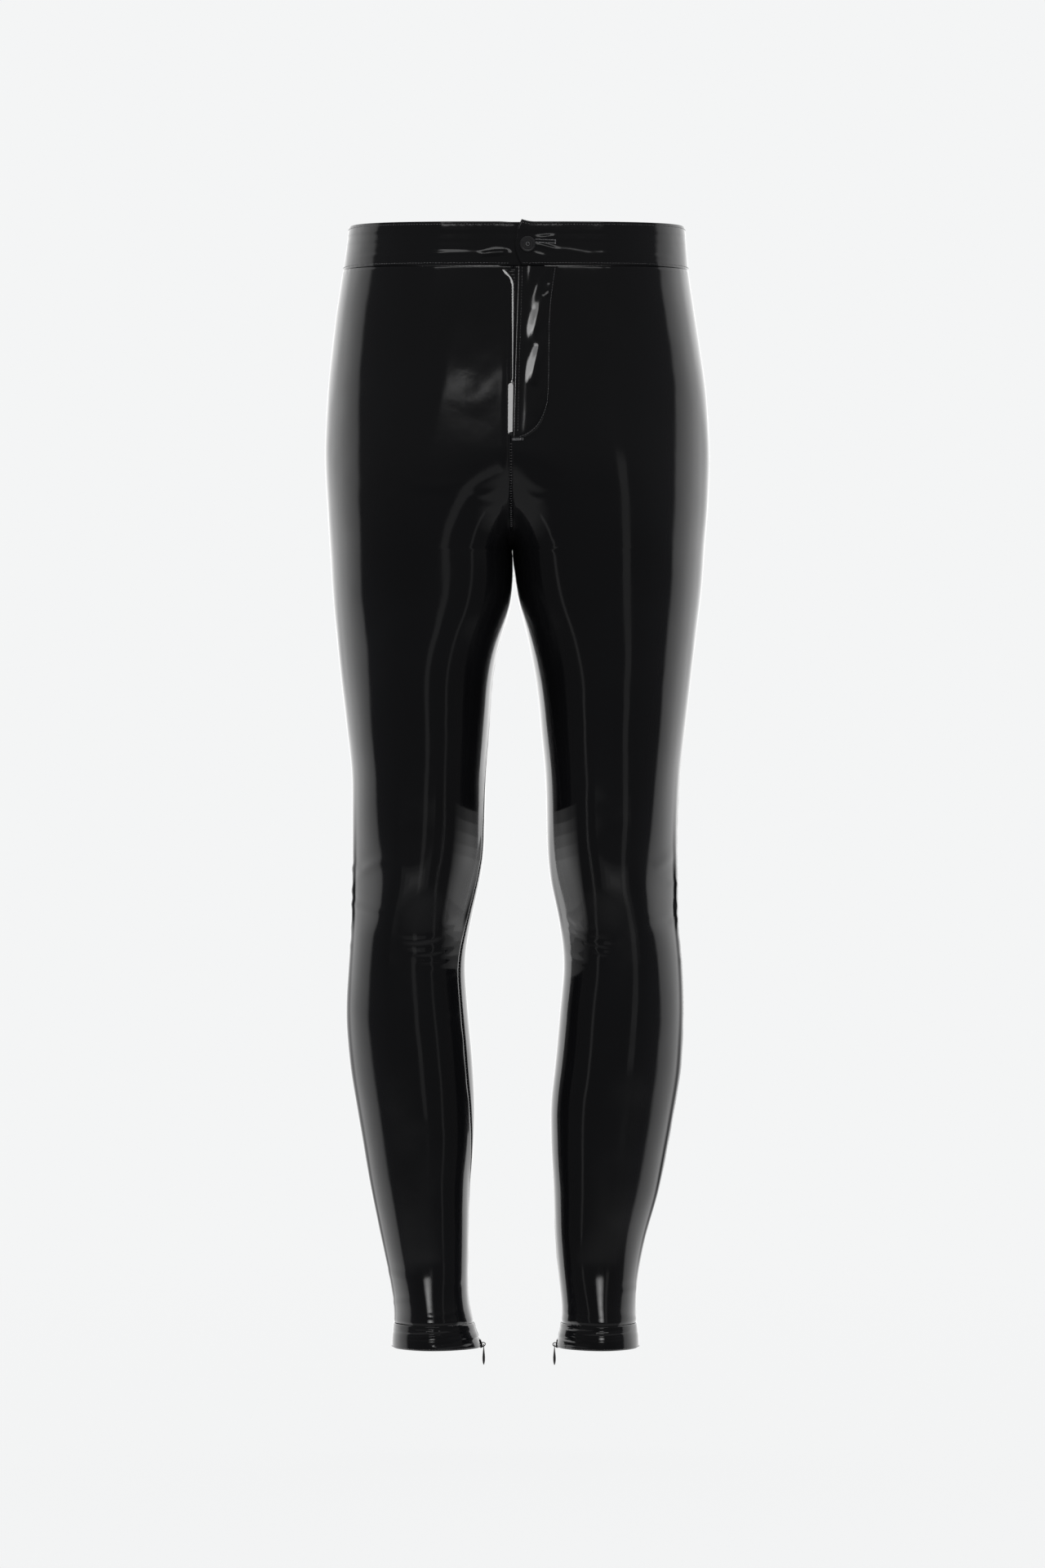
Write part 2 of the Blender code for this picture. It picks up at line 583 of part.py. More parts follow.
def slab(name, outline, width, hole=None):
    """A flat outline of (out, up) points, widened evenly across x, with a hole if given."""
    loops = [outline] + ([hole] if hole else [])
    work = bmesh.new()
    edges = []
    for loop in loops:
        verts = [work.verts.new((-width / 2 * MM, out * MM, up * MM)) for out, up in loop]
        edges += [work.edges.new((verts[k - 1], verts[k])) for k in range(len(verts))]
    filled = bmesh.ops.triangle_fill(work, use_beauty=True, edges=edges)
    faces = [item for item in filled["geom"] if isinstance(item, bmesh.types.BMFace)]
    moved = bmesh.ops.extrude_face_region(work, geom=faces)
    verts = [item for item in moved["geom"] if isinstance(item, bmesh.types.BMVert)]
    bmesh.ops.translate(work, verts=verts, vec=(width * MM, 0.0, 0.0))
    bmesh.ops.recalc_face_normals(work, faces=work.faces)
    mesh = bpy.data.meshes.new(name)
    work.to_mesh(mesh)
    work.free()
    return mesh


def arch(reach, low, high, points):
    """Half an oval from (0, low) out to reach and back to (0, high)."""
    angle = np.linspace(-math.pi / 2, math.pi / 2, points)
    middle, half = (low + high) / 2, (high - low) / 2
    return [(reach * math.cos(a), middle + half * math.sin(a)) for a in angle]


def make_slider(leg, place):
    """Slider body between the hem band's ends, with the arch that traps the pull tab."""
    face, foot, nose = SLIDER_FACE, SLIDER_FACE - SLIDER_THICK, SLIDER_HEIGHT
    body = [
        (foot, 0.0), (face - FOOT_ROUND, 0.0), (face, FOOT_ROUND), (face, nose - NOSE_ROUND),
        (face - NOSE_ROUND, nose), (foot, nose),
    ]
    name = f"zip_slider_{leg}"
    obj = add_object(name, slab(name, body, SLIDER_WIDTH), "zip_metal")
    outer = [
        (out + face - CROWN_SUNK, up)
        for out, up in arch(CROWN_REACH + CROWN_SUNK, 0.0, CROWN_HEIGHT, 11)
    ]
    low, high = CROWN_STRIP, CROWN_HEIGHT - CROWN_STRIP
    inner = [(out + face + CROWN_FLOOR, up) for out, up in arch(CROWN_REACH - low, low, high, 9)]
    crown = cutter(f"crown_{leg}", slab(f"crown_{leg}", outer, CROWN_WIDTH, inner))
    crown.parent = obj
    combine(obj, crown, "UNION")
    obj.matrix_world = place


def make_pull_tab(leg, place):
    """Plump drop that hangs from its cross bar. Its parent, an empty, is on the hinge's axis."""
    pin = place @ Vector((0.0, (SLIDER_FACE + PIN_OUT) * MM, PIN_UP * MM))
    across = (place.to_3x3() @ Vector((1.0, 0.0, 0.0))).normalized()
    across.z = 0.0
    across.normalize()
    up = Vector((0.0, 0.0, 1.0))
    axis = Matrix((across, up.cross(across), up)).transposed().to_4x4()
    axis.translation = pin
    pivot = bpy.data.objects.new(f"pull_pivot_{leg}", None)
    bpy.context.scene.collection.objects.link(pivot)
    pivot.matrix_world = axis

    down, half_width, half_thick = TAB.T
    angle = np.arange(TAB_SIDES) * 2 * math.pi / TAB_SIDES
    rings = np.stack([
        half_width[:, None] * np.cos(angle),
        half_thick[:, None] * np.sin(angle),
        np.repeat(-down[:, None], TAB_SIDES, axis=1),
    ], axis=2)
    faces = [list(range(TAB_SIDES)), list(range((len(TAB) - 1) * TAB_SIDES, len(TAB) * TAB_SIDES))]
    for start in range(0, (len(TAB) - 1) * TAB_SIDES, TAB_SIDES):
        for k in range(TAB_SIDES):
            a, b = start + k, start + (k + 1) % TAB_SIDES
            faces.append((a, b, b + TAB_SIDES, a + TAB_SIDES))
    name = f"pull_tab_{leg}"
    obj = add_object(name, mesh_from(name, rings.reshape(-1, 3), faces), "zip_metal")
    obj.parent = pivot
    top, bottom, half = -PIN_RADIUS, -EYE_LENGTH, EYE_WIDTH / 2
    hole = [
        (-half, top), (half, top), (half, bottom + EYE_CORNER),
        (half - EYE_CORNER, bottom), (EYE_CORNER - half, bottom), (-half, bottom + EYE_CORNER),
    ]
    through = TAB[:, TAB_COLUMNS.index("half_thick")].max() + 1.0
    tool_points = [(x, y, z) for y in (-through, through) for x, z in hole]
    count = len(hole)
    tool_faces = [list(range(count)), list(range(count, 2 * count))]
    tool_faces += [
        (k, (k + 1) % count, count + (k + 1) % count, count + k) for k in range(count)
    ]
    tool = cutter(f"eye_{leg}", mesh_from(f"eye_{leg}", tool_points, tool_faces))
    tool.parent = pivot
    combine(obj, tool, "DIFFERENCE")


def make_zip_pulls():
    for side, leg in ((1, "left"), (-1, "right")):
        place = zip_frame(side)
        make_slider(leg, place)
        make_pull_tab(leg, place)


def main():
    for obj in list(bpy.data.objects):
        bpy.data.objects.remove(obj)
    make_panels()
    make_waistband()
    make_fly()
    make_button()
    make_hem_bands()
    make_ankle_zips()
    make_zip_pulls()


main()
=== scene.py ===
# %% [markdown]
# # Black vinyl skinny trousers
# This lesson dresses a finished CAD model of a pair of trousers in Blender. The CAD model has the
# right sizes, and its pieces are plain walls of cloth. Here each piece gets a finer shell of the
# same form, with its creases, and a glossy coated finish. The lighting matters as much as the
# cloth, because black vinyl shows little but reflections.

# %% Load the frame
import math

import bpy
import numpy as np
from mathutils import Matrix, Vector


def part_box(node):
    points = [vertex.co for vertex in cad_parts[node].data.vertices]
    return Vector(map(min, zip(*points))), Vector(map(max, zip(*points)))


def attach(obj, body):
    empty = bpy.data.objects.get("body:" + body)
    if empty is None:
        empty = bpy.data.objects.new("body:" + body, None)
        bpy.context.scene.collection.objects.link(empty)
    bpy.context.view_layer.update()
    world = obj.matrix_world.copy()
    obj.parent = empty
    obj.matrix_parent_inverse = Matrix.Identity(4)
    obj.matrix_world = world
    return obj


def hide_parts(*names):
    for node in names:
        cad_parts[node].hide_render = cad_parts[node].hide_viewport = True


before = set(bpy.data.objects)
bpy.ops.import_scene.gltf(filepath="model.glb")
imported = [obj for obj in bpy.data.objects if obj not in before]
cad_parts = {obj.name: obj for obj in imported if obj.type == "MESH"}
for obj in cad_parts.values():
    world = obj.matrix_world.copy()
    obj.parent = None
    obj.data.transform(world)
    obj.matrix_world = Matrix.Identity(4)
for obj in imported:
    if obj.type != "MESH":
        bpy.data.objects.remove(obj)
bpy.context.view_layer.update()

TROUSERS = "trousers"

# %% [markdown]
# ## The form: a table of sections
# A trouser leg is a tube whose outline changes from level to level. One row of the table below
# describes one level: where the sides are, how far the cloth reaches to the front and the back,
# and where along the width it reaches furthest. All sizes are in millimetres, the garment's front
# faces -Y, and the wearer's left is at +X. A monotone cubic runs through the rows, so that the
# form never bulges between them, and a short average along the height rounds off its kinks.

# %% Sizes and sections
MM = 0.001
WALL = 1.1
SEAM_GAP = 0.3
BAND_TOP, BAND_BOTTOM = 20.0, -20.0
FRONT_DIP, BACK_RISE, DIP_FADE = 3.0, 6.0, 90.0
FORK_Z = -277.0
FRONT_CURVE, BACK_CURVE = 92.0, 150.0
PANEL_BOTTOM, HEM_Z = -981.5, -1004.5
ROUNDNESS, PRESSED_ROUNDNESS, PRESSED_DEPTH = 2.15, 2.9, 120.0
LEGS = {1: "left", -1: "right"}  # the sign of each leg's side along X, and its name

COLUMNS = (
    "z", "right_out", "right_in", "left_in", "left_out",
    "front", "back", "side", "front_crown", "back_crown",
)
SECTIONS = np.array([
    (20.0, -152.0, -2.0, -2.0, 154.0, -97.0, 99.0, 0.0, 0.22, 0.30),
    (-20.0, -158.0, -2.5, -2.5, 157.5, -101.0, 104.0, 0.0, 0.24, 0.32),
    (-70.0, -165.5, -3.2, -3.2, 165.0, -104.0, 112.0, 0.0, 0.29, 0.38),
    (-145.0, -173.0, -4.2, -4.2, 175.0, -106.0, 121.0, 1.0, 0.36, 0.43),
    (-190.0, -174.5, -4.5, -4.5, 177.0, -106.0, 121.0, 1.0, 0.41, 0.46),
    (-234.0, -172.5, -4.4, -4.4, 175.5, -104.0, 112.0, 0.0, 0.46, 0.48),
    (-277.0, -169.5, -3.4, -3.4, 172.0, -101.0, 99.0, -1.0, 0.48, 0.49),
    (-294.0, -168.5, -2.4, -1.5, 171.0, -99.5, 94.5, -2.0, 0.48, 0.50),
    (-324.0, -166.5, -4.0, 2.2, 168.0, -97.0, 87.5, -4.0, 0.48, 0.50),
    (-339.0, -165.0, -8.2, 6.7, 166.0, -96.0, 85.0, -5.0, 0.48, 0.50),
    (-369.0, -162.0, -17.2, 13.4, 162.5, -93.5, 80.0, -7.0, 0.48, 0.50),
    (-398.0, -159.0, -21.6, 18.7, 159.0, -91.5, 76.0, -8.0, 0.48, 0.50),
    (-443.0, -153.7, -24.6, 23.1, 153.7, -87.5, 70.0, -9.0, 0.48, 0.50),
    (-488.0, -149.3, -27.6, 26.9, 149.0, -83.0, 63.0, -10.0, 0.49, 0.50),
    (-548.0, -149.3, -28.4, 28.4, 147.0, -77.0, 54.0, -11.0, 0.50, 0.50),
    (-577.0, -150.0, -32.8, 31.3, 147.5, -74.0, 50.0, -12.0, 0.50, 0.50),
    (-607.0, -150.3, -39.6, 38.1, 147.5, -70.5, 47.5, -11.5, 0.51, 0.50),
    (-652.0, -153.0, -46.3, 43.3, 151.5, -64.5, 47.5, -8.5, 0.50, 0.50),
    (-697.0, -155.2, -43.3, 39.6, 153.0, -58.0, 53.0, -2.5, 0.48, 0.50),
    (-742.0, -152.2, -39.6, 35.8, 151.5, -52.0, 59.0, 3.5, 0.47, 0.48),
    (-786.0, -145.5, -37.3, 31.3, 144.8, -45.5, 61.0, 7.5, 0.47, 0.48),
    (-816.0, -140.3, -38.1, 32.1, 139.6, -41.0, 60.0, 9.5, 0.47, 0.48),
    (-861.0, -132.8, -42.5, 34.3, 130.6, -34.0, 58.0, 12.0, 0.48, 0.50),
    (-906.0, -123.1, -43.3, 35.8, 118.0, -26.5, 57.0, 15.0, 0.50, 0.50),
    (-951.0, -114.2, -44.0, 40.3, 110.6, -18.5, 59.0, 20.0, 0.52, 0.50),
    (-974.5, -111.4, -41.0, 42.5, 109.7, -15.0, 61.0, 23.0, 0.53, 0.50),
    (-984.0, -112.5, -38.0, 41.0, 111.0, -13.5, 62.5, 24.5, 0.54, 0.50),
    (-1004.5, -112.7, -31.5, 37.5, 112.0, -12.0, 65.0, 26.5, 0.55, 0.50),
])
SEAM_TURN = np.array([  # z, and how far the right and the left leg's seams have turned, in mm
    (-320.0, 0.0, 0.0),
    (-443.0, 8.0, -3.0),
    (-520.0, 18.0, -6.0),
    (-607.0, 22.0, -6.0),
    (-667.0, 28.0, -6.0),
    (-742.0, 28.0, -6.0),
    (-816.0, 17.0, -5.0),
    (-861.0, 5.0, -3.0),
    (-906.0, 0.0, 0.0),
    (-1004.5, 0.0, 0.0),
])
print("table rows:", len(SECTIONS))

# %% Curves through a table
def smooth_value(z, levels, values):
    """Monotone cubic Hermite curve: each row's tangent is the weighted harmonic mean of the
    slopes on its two sides, or 0 where they differ in sign."""
    x, y = -np.asarray(levels), np.asarray(values)
    step, slope = np.diff(x), np.diff(y) / np.diff(x)
    same_way = slope[:-1] * slope[1:] > 0
    w1, w2 = 2 * step[1:] + step[:-1], step[1:] + 2 * step[:-1]
    low = np.where(same_way, slope[:-1], 1.0)
    high = np.where(same_way, slope[1:], 1.0)
    inner = np.where(same_way, (w1 + w2) / (w1 / low + w2 / high), 0.0)
    tangent = np.concatenate([slope[:1], inner, slope[-1:]])
    at = np.clip(-np.asarray(z, float), x[0], x[-1])
    k = np.clip(np.searchsorted(x, at) - 1, 0, len(step) - 1)
    t = (at - x[k]) / step[k]
    return (
        y[k] * (1 + 2 * t) * (1 - t) ** 2
        + tangent[k] * step[k] * t * (1 - t) ** 2
        + y[k + 1] * t * t * (3 - 2 * t)
        + tangent[k + 1] * step[k] * t * t * (t - 1)
    )


EASE = 9.0  # half the height, in mm, over which the table's kinks are averaged away


def column(z, name):
    """A column of the table at the levels z, averaged with weights 1, 4, 6, 4, 1 up and down."""
    values = SECTIONS[:, COLUMNS.index(name)]
    z = np.asarray(z, float)
    total = 0.0
    for shift, weight in ((-2, 1), (-1, 4), (0, 6), (1, 4), (2, 1)):
        near = z + shift * EASE
        inside = (near < SECTIONS[0, 0]) & (near > SECTIONS[-1, 0])
        total = total + weight * smooth_value(np.where(inside, near, z), SECTIONS[:, 0], values)
    return total / 16.0


def smooth_step(value):
    """0 below 0, 1 above 1, and 3t^2 - 2t^3 between them."""
    t = np.clip(value, 0.0, 1.0)
    return t * t * (3 - 2 * t)


def bell(value, middle, half):
    """exp(-((value - middle) / half)^2)."""
    return np.exp(-(((value - middle) / half) ** 2))


print("seat reaches back to", column(-190.0, "back"), "mm")

# %% [markdown]
# ## From a section to a surface
# Each half of an outline is a superellipse, which is an ellipse with a squarer shoulder. Above the
# fork the two legs' outlines are cut off where they meet at the centre seam, so the same formula
# gives the tube of a leg, the curved crotch and the flat front of the body.

# %% Rings
def crotch_share(z, height):
    """Quarter ellipse: 0 at the fork and 1 where the crotch curve ends."""
    up = np.clip((z - FORK_Z) / height, 0.0, 1.0)
    return np.sqrt(1.0 - (1.0 - up) ** 2)


def inner_power(z):
    """Exponent of the inner shoulders: squarer near the fork, where the thighs press together."""
    pressed = smooth_step(1.0 - (FORK_Z - z) / PRESSED_DEPTH)
    return ROUNDNESS + (PRESSED_ROUNDNESS - ROUNDNESS) * pressed


FINE = 150  # points in each quarter of a ring, so that its own steps don't show in a reflection


def rings(levels, side):
    """Outlines as an array (level, point, xyz), from the inner side round the front, the outside
    and the back. x runs as cos^(2/n) of an even angle and y as (1 - x^n)^(1/n). side is 1 on the
    wearer's left and -1 on the right."""
    z = np.asarray(levels, float)[:, None]
    leg = LEGS[side]
    inner = column(z, leg + "_in") + side * SEAM_GAP / 2
    outer, middle = column(z, leg + "_out"), column(z, "side")
    angle = np.linspace(0.0, math.pi / 2, FINE + 1)[None, :]
    power = inner_power(z)
    halves = []
    for face, height in (("front", FRONT_CURVE), ("back", BACK_CURVE)):
        crown = inner + (outer - inner) * column(z, face + "_crown")
        reach = column(z, face) - middle
        across = np.cos(angle) ** (2.0 / power)
        cut = (1.0 - crotch_share(z, height) ** power) ** (1.0 / power)
        inside_x = crown + (inner - crown) * across
        depth = np.clip(1.0 - (cut * across) ** power, 0.0, 1.0) ** (1.0 / power)
        inside_y = middle + reach * depth
        outside_x = crown + (outer - crown) * np.sin(angle) ** (2.0 / ROUNDNESS)
        outside_y = middle + reach * np.cos(angle) ** (2.0 / ROUNDNESS)
        x = np.concatenate([inside_x, outside_x[:, 1:]], axis=1)
        y = np.concatenate([inside_y, outside_y[:, 1:]], axis=1)
        halves.append(np.stack([x, y], axis=2))
    flat = np.concatenate([halves[0], halves[1][:, -2::-1]], axis=1)
    height = np.broadcast_to(z, flat.shape[:2])
    lift = waist_lift(flat[:, :, 1], z, column(z, "front"), column(z, "back"))
    return np.concatenate([flat, (height + lift)[:, :, None]], axis=2)


def waist_lift(y, z, front, back):
    """The waist dips at the front and rises at the back, with the square of the depth."""
    fade = smooth_step((z - (BAND_BOTTOM - DIP_FADE)) / DIP_FADE)
    forward, backward = np.clip(y / front, 0.0, 1.0) ** 2, np.clip(y / back, 0.0, 1.0) ** 2
    return fade * (BACK_RISE * backward - FRONT_DIP * forward)


def unit(vectors):
    return vectors / np.maximum(np.linalg.norm(vectors, axis=-1, keepdims=True), 1e-12)


print("ring points:", rings([FORK_Z], 1).shape[1])

# %% A patch of cloth between two distances along each ring
def length_along(lines):
    """Distance along each line of points, from 0 at its start."""
    step = np.linalg.norm(np.diff(lines, axis=1), axis=2)
    return np.concatenate([np.zeros((len(lines), 1)), np.cumsum(step, axis=1)], axis=1)


def read_at(wanted, distance, values):
    """Vectors at the wanted distances along a line, from those at its own points."""
    return np.stack([np.interp(wanted, distance, values[:, k]) for k in range(3)], axis=1)


def patch(levels, side, bounds, columns):
    """Points and outward normals (level, column, xyz). columns(start, end) gives the distances
    along the cloth, and bounds(outseam distance, whole distance, seam turn) gives start and end.
    The normal is the cross product of the two directions of the surface."""
    ring = rings(levels, side)
    along = np.gradient(ring, axis=1)
    closed = np.asarray(levels) <= FORK_Z
    wrap = ring[:, 1] - ring[:, -2]
    along[closed, 0] = along[closed, -1] = wrap[closed]
    normal = unit(np.cross(np.gradient(ring, axis=0), along) * side)
    distance = length_along(ring[:, :, :2])
    turn = smooth_value(levels, SEAM_TURN[:, 0], SEAM_TURN[:, 2 if side > 0 else 1])
    points, normals, where = [], [], []
    for row in range(len(ring)):
        d, total = distance[row], distance[row, -1]
        start, end = bounds(d[2 * FINE], total, turn[row])
        wanted = columns(start, end)
        if closed[row]:
            d = np.concatenate([d[:-1] - total, d, d[1:] + total])
        for source, found in ((ring[row], points), (normal[row], normals)):
            if closed[row]:
                source = np.concatenate([source[:-1], source, source[1:]])
            found.append(read_at(wanted, d, source))
        where.append(wanted - start)
    return np.array(points), unit(np.array(normals)), np.array(where)


def rows_of(top, bottom, steps):
    """Levels from top to bottom. steps is a list of (down to this level, spacing)."""
    levels = [top]
    for end, spacing in steps:
        stop = max(end, bottom)
        count = max(int(round((levels[-1] - stop) / spacing)), 1)
        levels += np.linspace(levels[-1], stop, count + 1)[1:].tolist()
        if stop == bottom:
            break
    return np.array(levels)


PANEL_ROWS = rows_of(
    BAND_BOTTOM - SEAM_GAP, PANEL_BOTTOM,
    [
        (-190.0, 1.6), (-330.0, 2.0), (-560.0, 3.0), (-700.0, 2.2), (-940.0, 3.2),
        (PANEL_BOTTOM, 2.0),
    ],
)
print("rows in a leg panel:", len(PANEL_ROWS))

# %% [markdown]
# ## Creases
# Stretched vinyl has few folds: short drag lines that run out of the crotch, folds where the knee
# bends, and puckers along seams. Each is a soft ridge or trough along a curved line. A bell curve
# across the line gives its height, a second bell beside it with the other sign gives the dip that
# cloth makes next to a fold, and the height dies away towards both ends.

# %% Crease tools
DIP_SHARE, DIP_PLACE, DIP_WIDTH = 0.45, 1.7, 1.3  # of the fold's height, half width, half width


def crease_height(x, z, table):
    """Sum of the creases at the points (x, z). A row of the table is: x and z of the start, x and
    z of the end, bow of the line sideways, half width and height, all in mm. Along the line the
    height follows sin(pi t)^0.7; across it exp(-(d/w)^2) - 0.45 exp(-((d - 1.7w)/1.3w)^2)."""
    total = np.zeros_like(x)
    for x0, z0, x1, z1, bow, half, height in table:
        length = math.hypot(x1 - x0, z1 - z0)
        along_x, along_z = (x1 - x0) / length, (z1 - z0) / length
        px, pz = x - x0, z - z0
        t = np.clip((px * along_x + pz * along_z) / length, 0.0, 1.0)
        beyond = np.abs(px * along_x + pz * along_z - t * length)
        across = px * -along_z + pz * along_x - bow * 4 * t * (1 - t)
        ends = np.sin(math.pi * t) ** 0.7 * bell(beyond, 0.0, half)
        beside = DIP_SHARE * bell(across, DIP_PLACE * half, DIP_WIDTH * half)
        total += height * ends * (bell(across, 0.0, half) - beside)
    return total


CELLS = 32
LATTICE = np.random.default_rng(7).uniform(-1.0, 1.0, (CELLS, CELLS, CELLS))


def soft_noise(points, scale):
    """Value noise from -1 to 1: random numbers on a lattice of that spacing in mm, blended with
    the smooth step t^2 (3 - 2t) along each of the three directions."""
    at = points / scale
    low = np.floor(at).astype(int)
    t = smooth_step(at - low)
    total = 0.0
    for corner in range(8):
        bit = [(corner >> k) & 1 for k in range(3)]
        weight = 1.0
        for k in range(3):
            weight = weight * (t[..., k] if bit[k] else 1 - t[..., k])
        index = [(low[..., k] + bit[k]) % CELLS for k in range(3)]
        total = total + weight * LATTICE[index[0], index[1], index[2]]
    return total


print("noise sample:", round(float(soft_noise(np.array([[10.0, 4.0, 7.0]]), 8.0)[0]), 3))

# %% Mesh tools
def new_piece(name, points, faces, material, edge=None, smooth_angle=38):
    """A mesh object from points in mm, which rides on the trousers and stays at the origin. edge
    is each point's distance to the nearest edge of its cloth, which the film's finish reads."""
    mesh = bpy.data.meshes.new(name)
    mesh.from_pydata((np.asarray(points) * MM).astype(float), [], faces)
    if edge is not None:
        layer = mesh.attributes.new("edge", "FLOAT", "POINT")
        layer.data.foreach_set("value", np.asarray(edge, np.float32).ravel())
    mesh.materials.append(material)
    mesh.shade_smooth()
    mesh.set_sharp_from_angle(angle=math.radians(smooth_angle))
    obj = bpy.data.objects.new(name, mesh)
    bpy.context.scene.collection.objects.link(obj)
    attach(obj, TROUSERS)
    print(name, len(mesh.polygons), "faces")
    return obj


def shell_faces(rows, columns, flip):
    """Faces of a closed wall between two grids of the same size, the outer one first."""
    index = np.arange(rows * columns).reshape(rows, columns)
    back = index + rows * columns
    a, b, c, d = index[:-1, :-1], index[:-1, 1:], index[1:, 1:], index[1:, :-1]
    outer = np.stack([a, b, c, d], axis=2).reshape(-1, 4)
    inner = outer[:, ::-1] + rows * columns
    rim = np.concatenate([index[0, :-1], index[:-1, -1], index[-1, :0:-1], index[:0:-1, 0]])
    rim_back = np.concatenate([back[0, :-1], back[:-1, -1], back[-1, :0:-1], back[:0:-1, 0]])
    edge = np.stack([np.roll(rim, -1), rim, rim_back, np.roll(rim_back, -1)], axis=1)
    faces = np.concatenate([outer, inner, edge])
    return faces[:, ::-1] if flip else faces


def shell(name, outside, inside, material, flip, edge):
    """A closed wall of cloth. flip is True where the grid's columns run the other way round."""
    rows, columns = outside.shape[:2]
    points = np.concatenate([outside.reshape(-1, 3), inside.reshape(-1, 3)])
    faces = shell_faces(rows, columns, flip)
    obj = new_piece(name, points, faces, material, np.tile(edge.ravel(), 2))
    return obj


print("crease and mesh tools ready")

# %% [markdown]
# ## Finishes
# The outside is a polyurethane film: nearly black, very smooth, with a faint wobble left by the
# knit under it. A node group holds that wobble once, and each finish feeds its own sizes into it.
# The inside is the knit itself, and the button, zip and thread have finishes of their own.

# %% Node helpers
FLOAT, VECTOR = "NodeSocketFloat", "NodeSocketVector"


def feed(tree, node, inputs):
    """Gives a node its inputs: numbers and colours as values, other nodes' sockets as links."""
    for label, value in inputs.items():
        if isinstance(value, bpy.types.NodeSocket):
            tree.links.new(value, node.inputs[label])
        else:
            node.inputs[label].default_value = value
    return node


def new_node(tree, kind, inputs=None):
    return feed(tree, tree.nodes.new("ShaderNode" + kind), inputs or {})


def maths(tree, operation, first, second=None):
    """A Math node on sockets or numbers; its result socket comes back."""
    node = tree.nodes.new("ShaderNodeMath")
    node.operation = operation
    inputs = {0: first} if second is None else {0: first, 1: second}
    return feed(tree, node, inputs).outputs[0]


def noise(tree, vector, scale, detail=2.0, roughness=0.5):
    inputs = {"Vector": vector, "Scale": scale, "Detail": detail, "Roughness": roughness}
    return new_node(tree, "TexNoise", inputs).outputs["Fac"]


def ramp(tree, value, low, high, start, end):
    """Maps value from [low, high] to [start, end], held at the ends."""
    inputs = {"Value": value, "From Min": low, "From Max": high, "To Min": start, "To Max": end}
    return new_node(tree, "MapRange", inputs).outputs["Result"]


def group_of(name, inputs, outputs):
    """An empty shader group. An input is (name, type, default), an output the name of a float."""
    tree = bpy.data.node_groups.new(name, "ShaderNodeTree")
    for label, kind, value in inputs:
        socket = tree.interface.new_socket(name=label, in_out="INPUT", socket_type=kind)
        if value is not None:
            socket.default_value = value
    for label in outputs:
        tree.interface.new_socket(name=label, in_out="OUTPUT", socket_type=FLOAT)
    return tree, tree.nodes.new("NodeGroupInput").outputs, tree.nodes.new("NodeGroupOutput")


# %% The film's pattern: heights in mm, and scales per m of the object
KNIT_SCALE, GRAIN_SCALE, SMEAR_SCALE, SHADE_SCALE = 85.0, 1400.0, 22.0, 9.0
BEAD_PITCH, BEAD_HEIGHT, BEAD_FADE = 0.0031, 0.05, -0.3
E = 2.718
film, film_in, film_out = group_of(
    "film_over_knit",
    [
        ("Vector", VECTOR, None), ("Edge", FLOAT, 50.0), ("Wobble", FLOAT, 0.03),
        ("Grain", FLOAT, 0.002),
    ],
    ("Height", "Roughness", "Shade"),
)
vector, edge = film_in["Vector"], film_in["Edge"]
wobble = maths(film, "MULTIPLY", noise(film, vector, KNIT_SCALE, 3.0), film_in["Wobble"])
grain = maths(film, "MULTIPLY", noise(film, vector, GRAIN_SCALE, 2.0, 0.6), film_in["Grain"])
level = new_node(film, "SeparateXYZ", {0: vector}).outputs["Z"]
bead = maths(film, "SINE", maths(film, "MULTIPLY", level, 2 * math.pi / BEAD_PITCH))
faded = maths(film, "MULTIPLY", maths(film, "MULTIPLY", edge, edge), BEAD_FADE)
beads = maths(film, "MULTIPLY", bead, maths(film, "POWER", E, faded))
pucker = maths(film, "MULTIPLY", beads, BEAD_HEIGHT)
feed(film, film_out, {
    "Height": maths(film, "ADD", maths(film, "ADD", wobble, grain), pucker),
    "Roughness": ramp(film, noise(film, vector, SMEAR_SCALE, 4.0, 0.62), 0.3, 0.7, 0.0, 1.0),
    "Shade": noise(film, vector, SHADE_SCALE),
})
print("film group:", len(film.nodes), "nodes")


# %% The vinyl
GLOSS_IOR = 1.5
FILM_DARK, FILM_LIGHT, FILM_GRAIN = (0.0120, 0.0120, 0.0132), (0.0175, 0.0182, 0.0215), 0.0018


def colour_between(tree, factor, dark, light):
    node = tree.nodes.new("ShaderNodeMix")
    node.data_type = "RGBA"
    feed(tree, node, {"A": (*dark, 1.0), "B": (*light, 1.0), "Factor": factor})
    return node.outputs["Result"]


def start_material(name):
    """A new material, its tree, its shader and the place on the object as a vector."""
    material = bpy.data.materials.new(name)
    material.use_nodes = True
    tree = material.node_tree
    shader = feed(tree, tree.nodes["Principled BSDF"], {"IOR": GLOSS_IOR})
    return material, tree, shader, new_node(tree, "TexCoord").outputs["Object"]


def bump(tree, height):
    """The normal that a height in mm gives."""
    inputs = {"Distance": MM, "Strength": 1.0, "Height": height}
    return new_node(tree, "Bump", inputs).outputs["Normal"]


def vinyl_finish(name, wobble, smooth, dull):
    """Black film: roughness runs between smooth and dull with a soft smear pattern."""
    material, tree, shader, place = start_material(name)
    reach = tree.nodes.new("ShaderNodeAttribute")
    reach.attribute_name = "edge"
    group = tree.nodes.new("ShaderNodeGroup")
    group.node_tree = film
    feed(tree, group, {
        "Vector": place, "Edge": reach.outputs["Fac"], "Wobble": wobble, "Grain": FILM_GRAIN,
    })
    feed(tree, shader, {
        "Base Color": colour_between(tree, group.outputs["Shade"], FILM_DARK, FILM_LIGHT),
        "Roughness": ramp(tree, group.outputs["Roughness"], 0.0, 1.0, smooth, dull),
        "Normal": bump(tree, group.outputs["Height"]),
    })
    return material


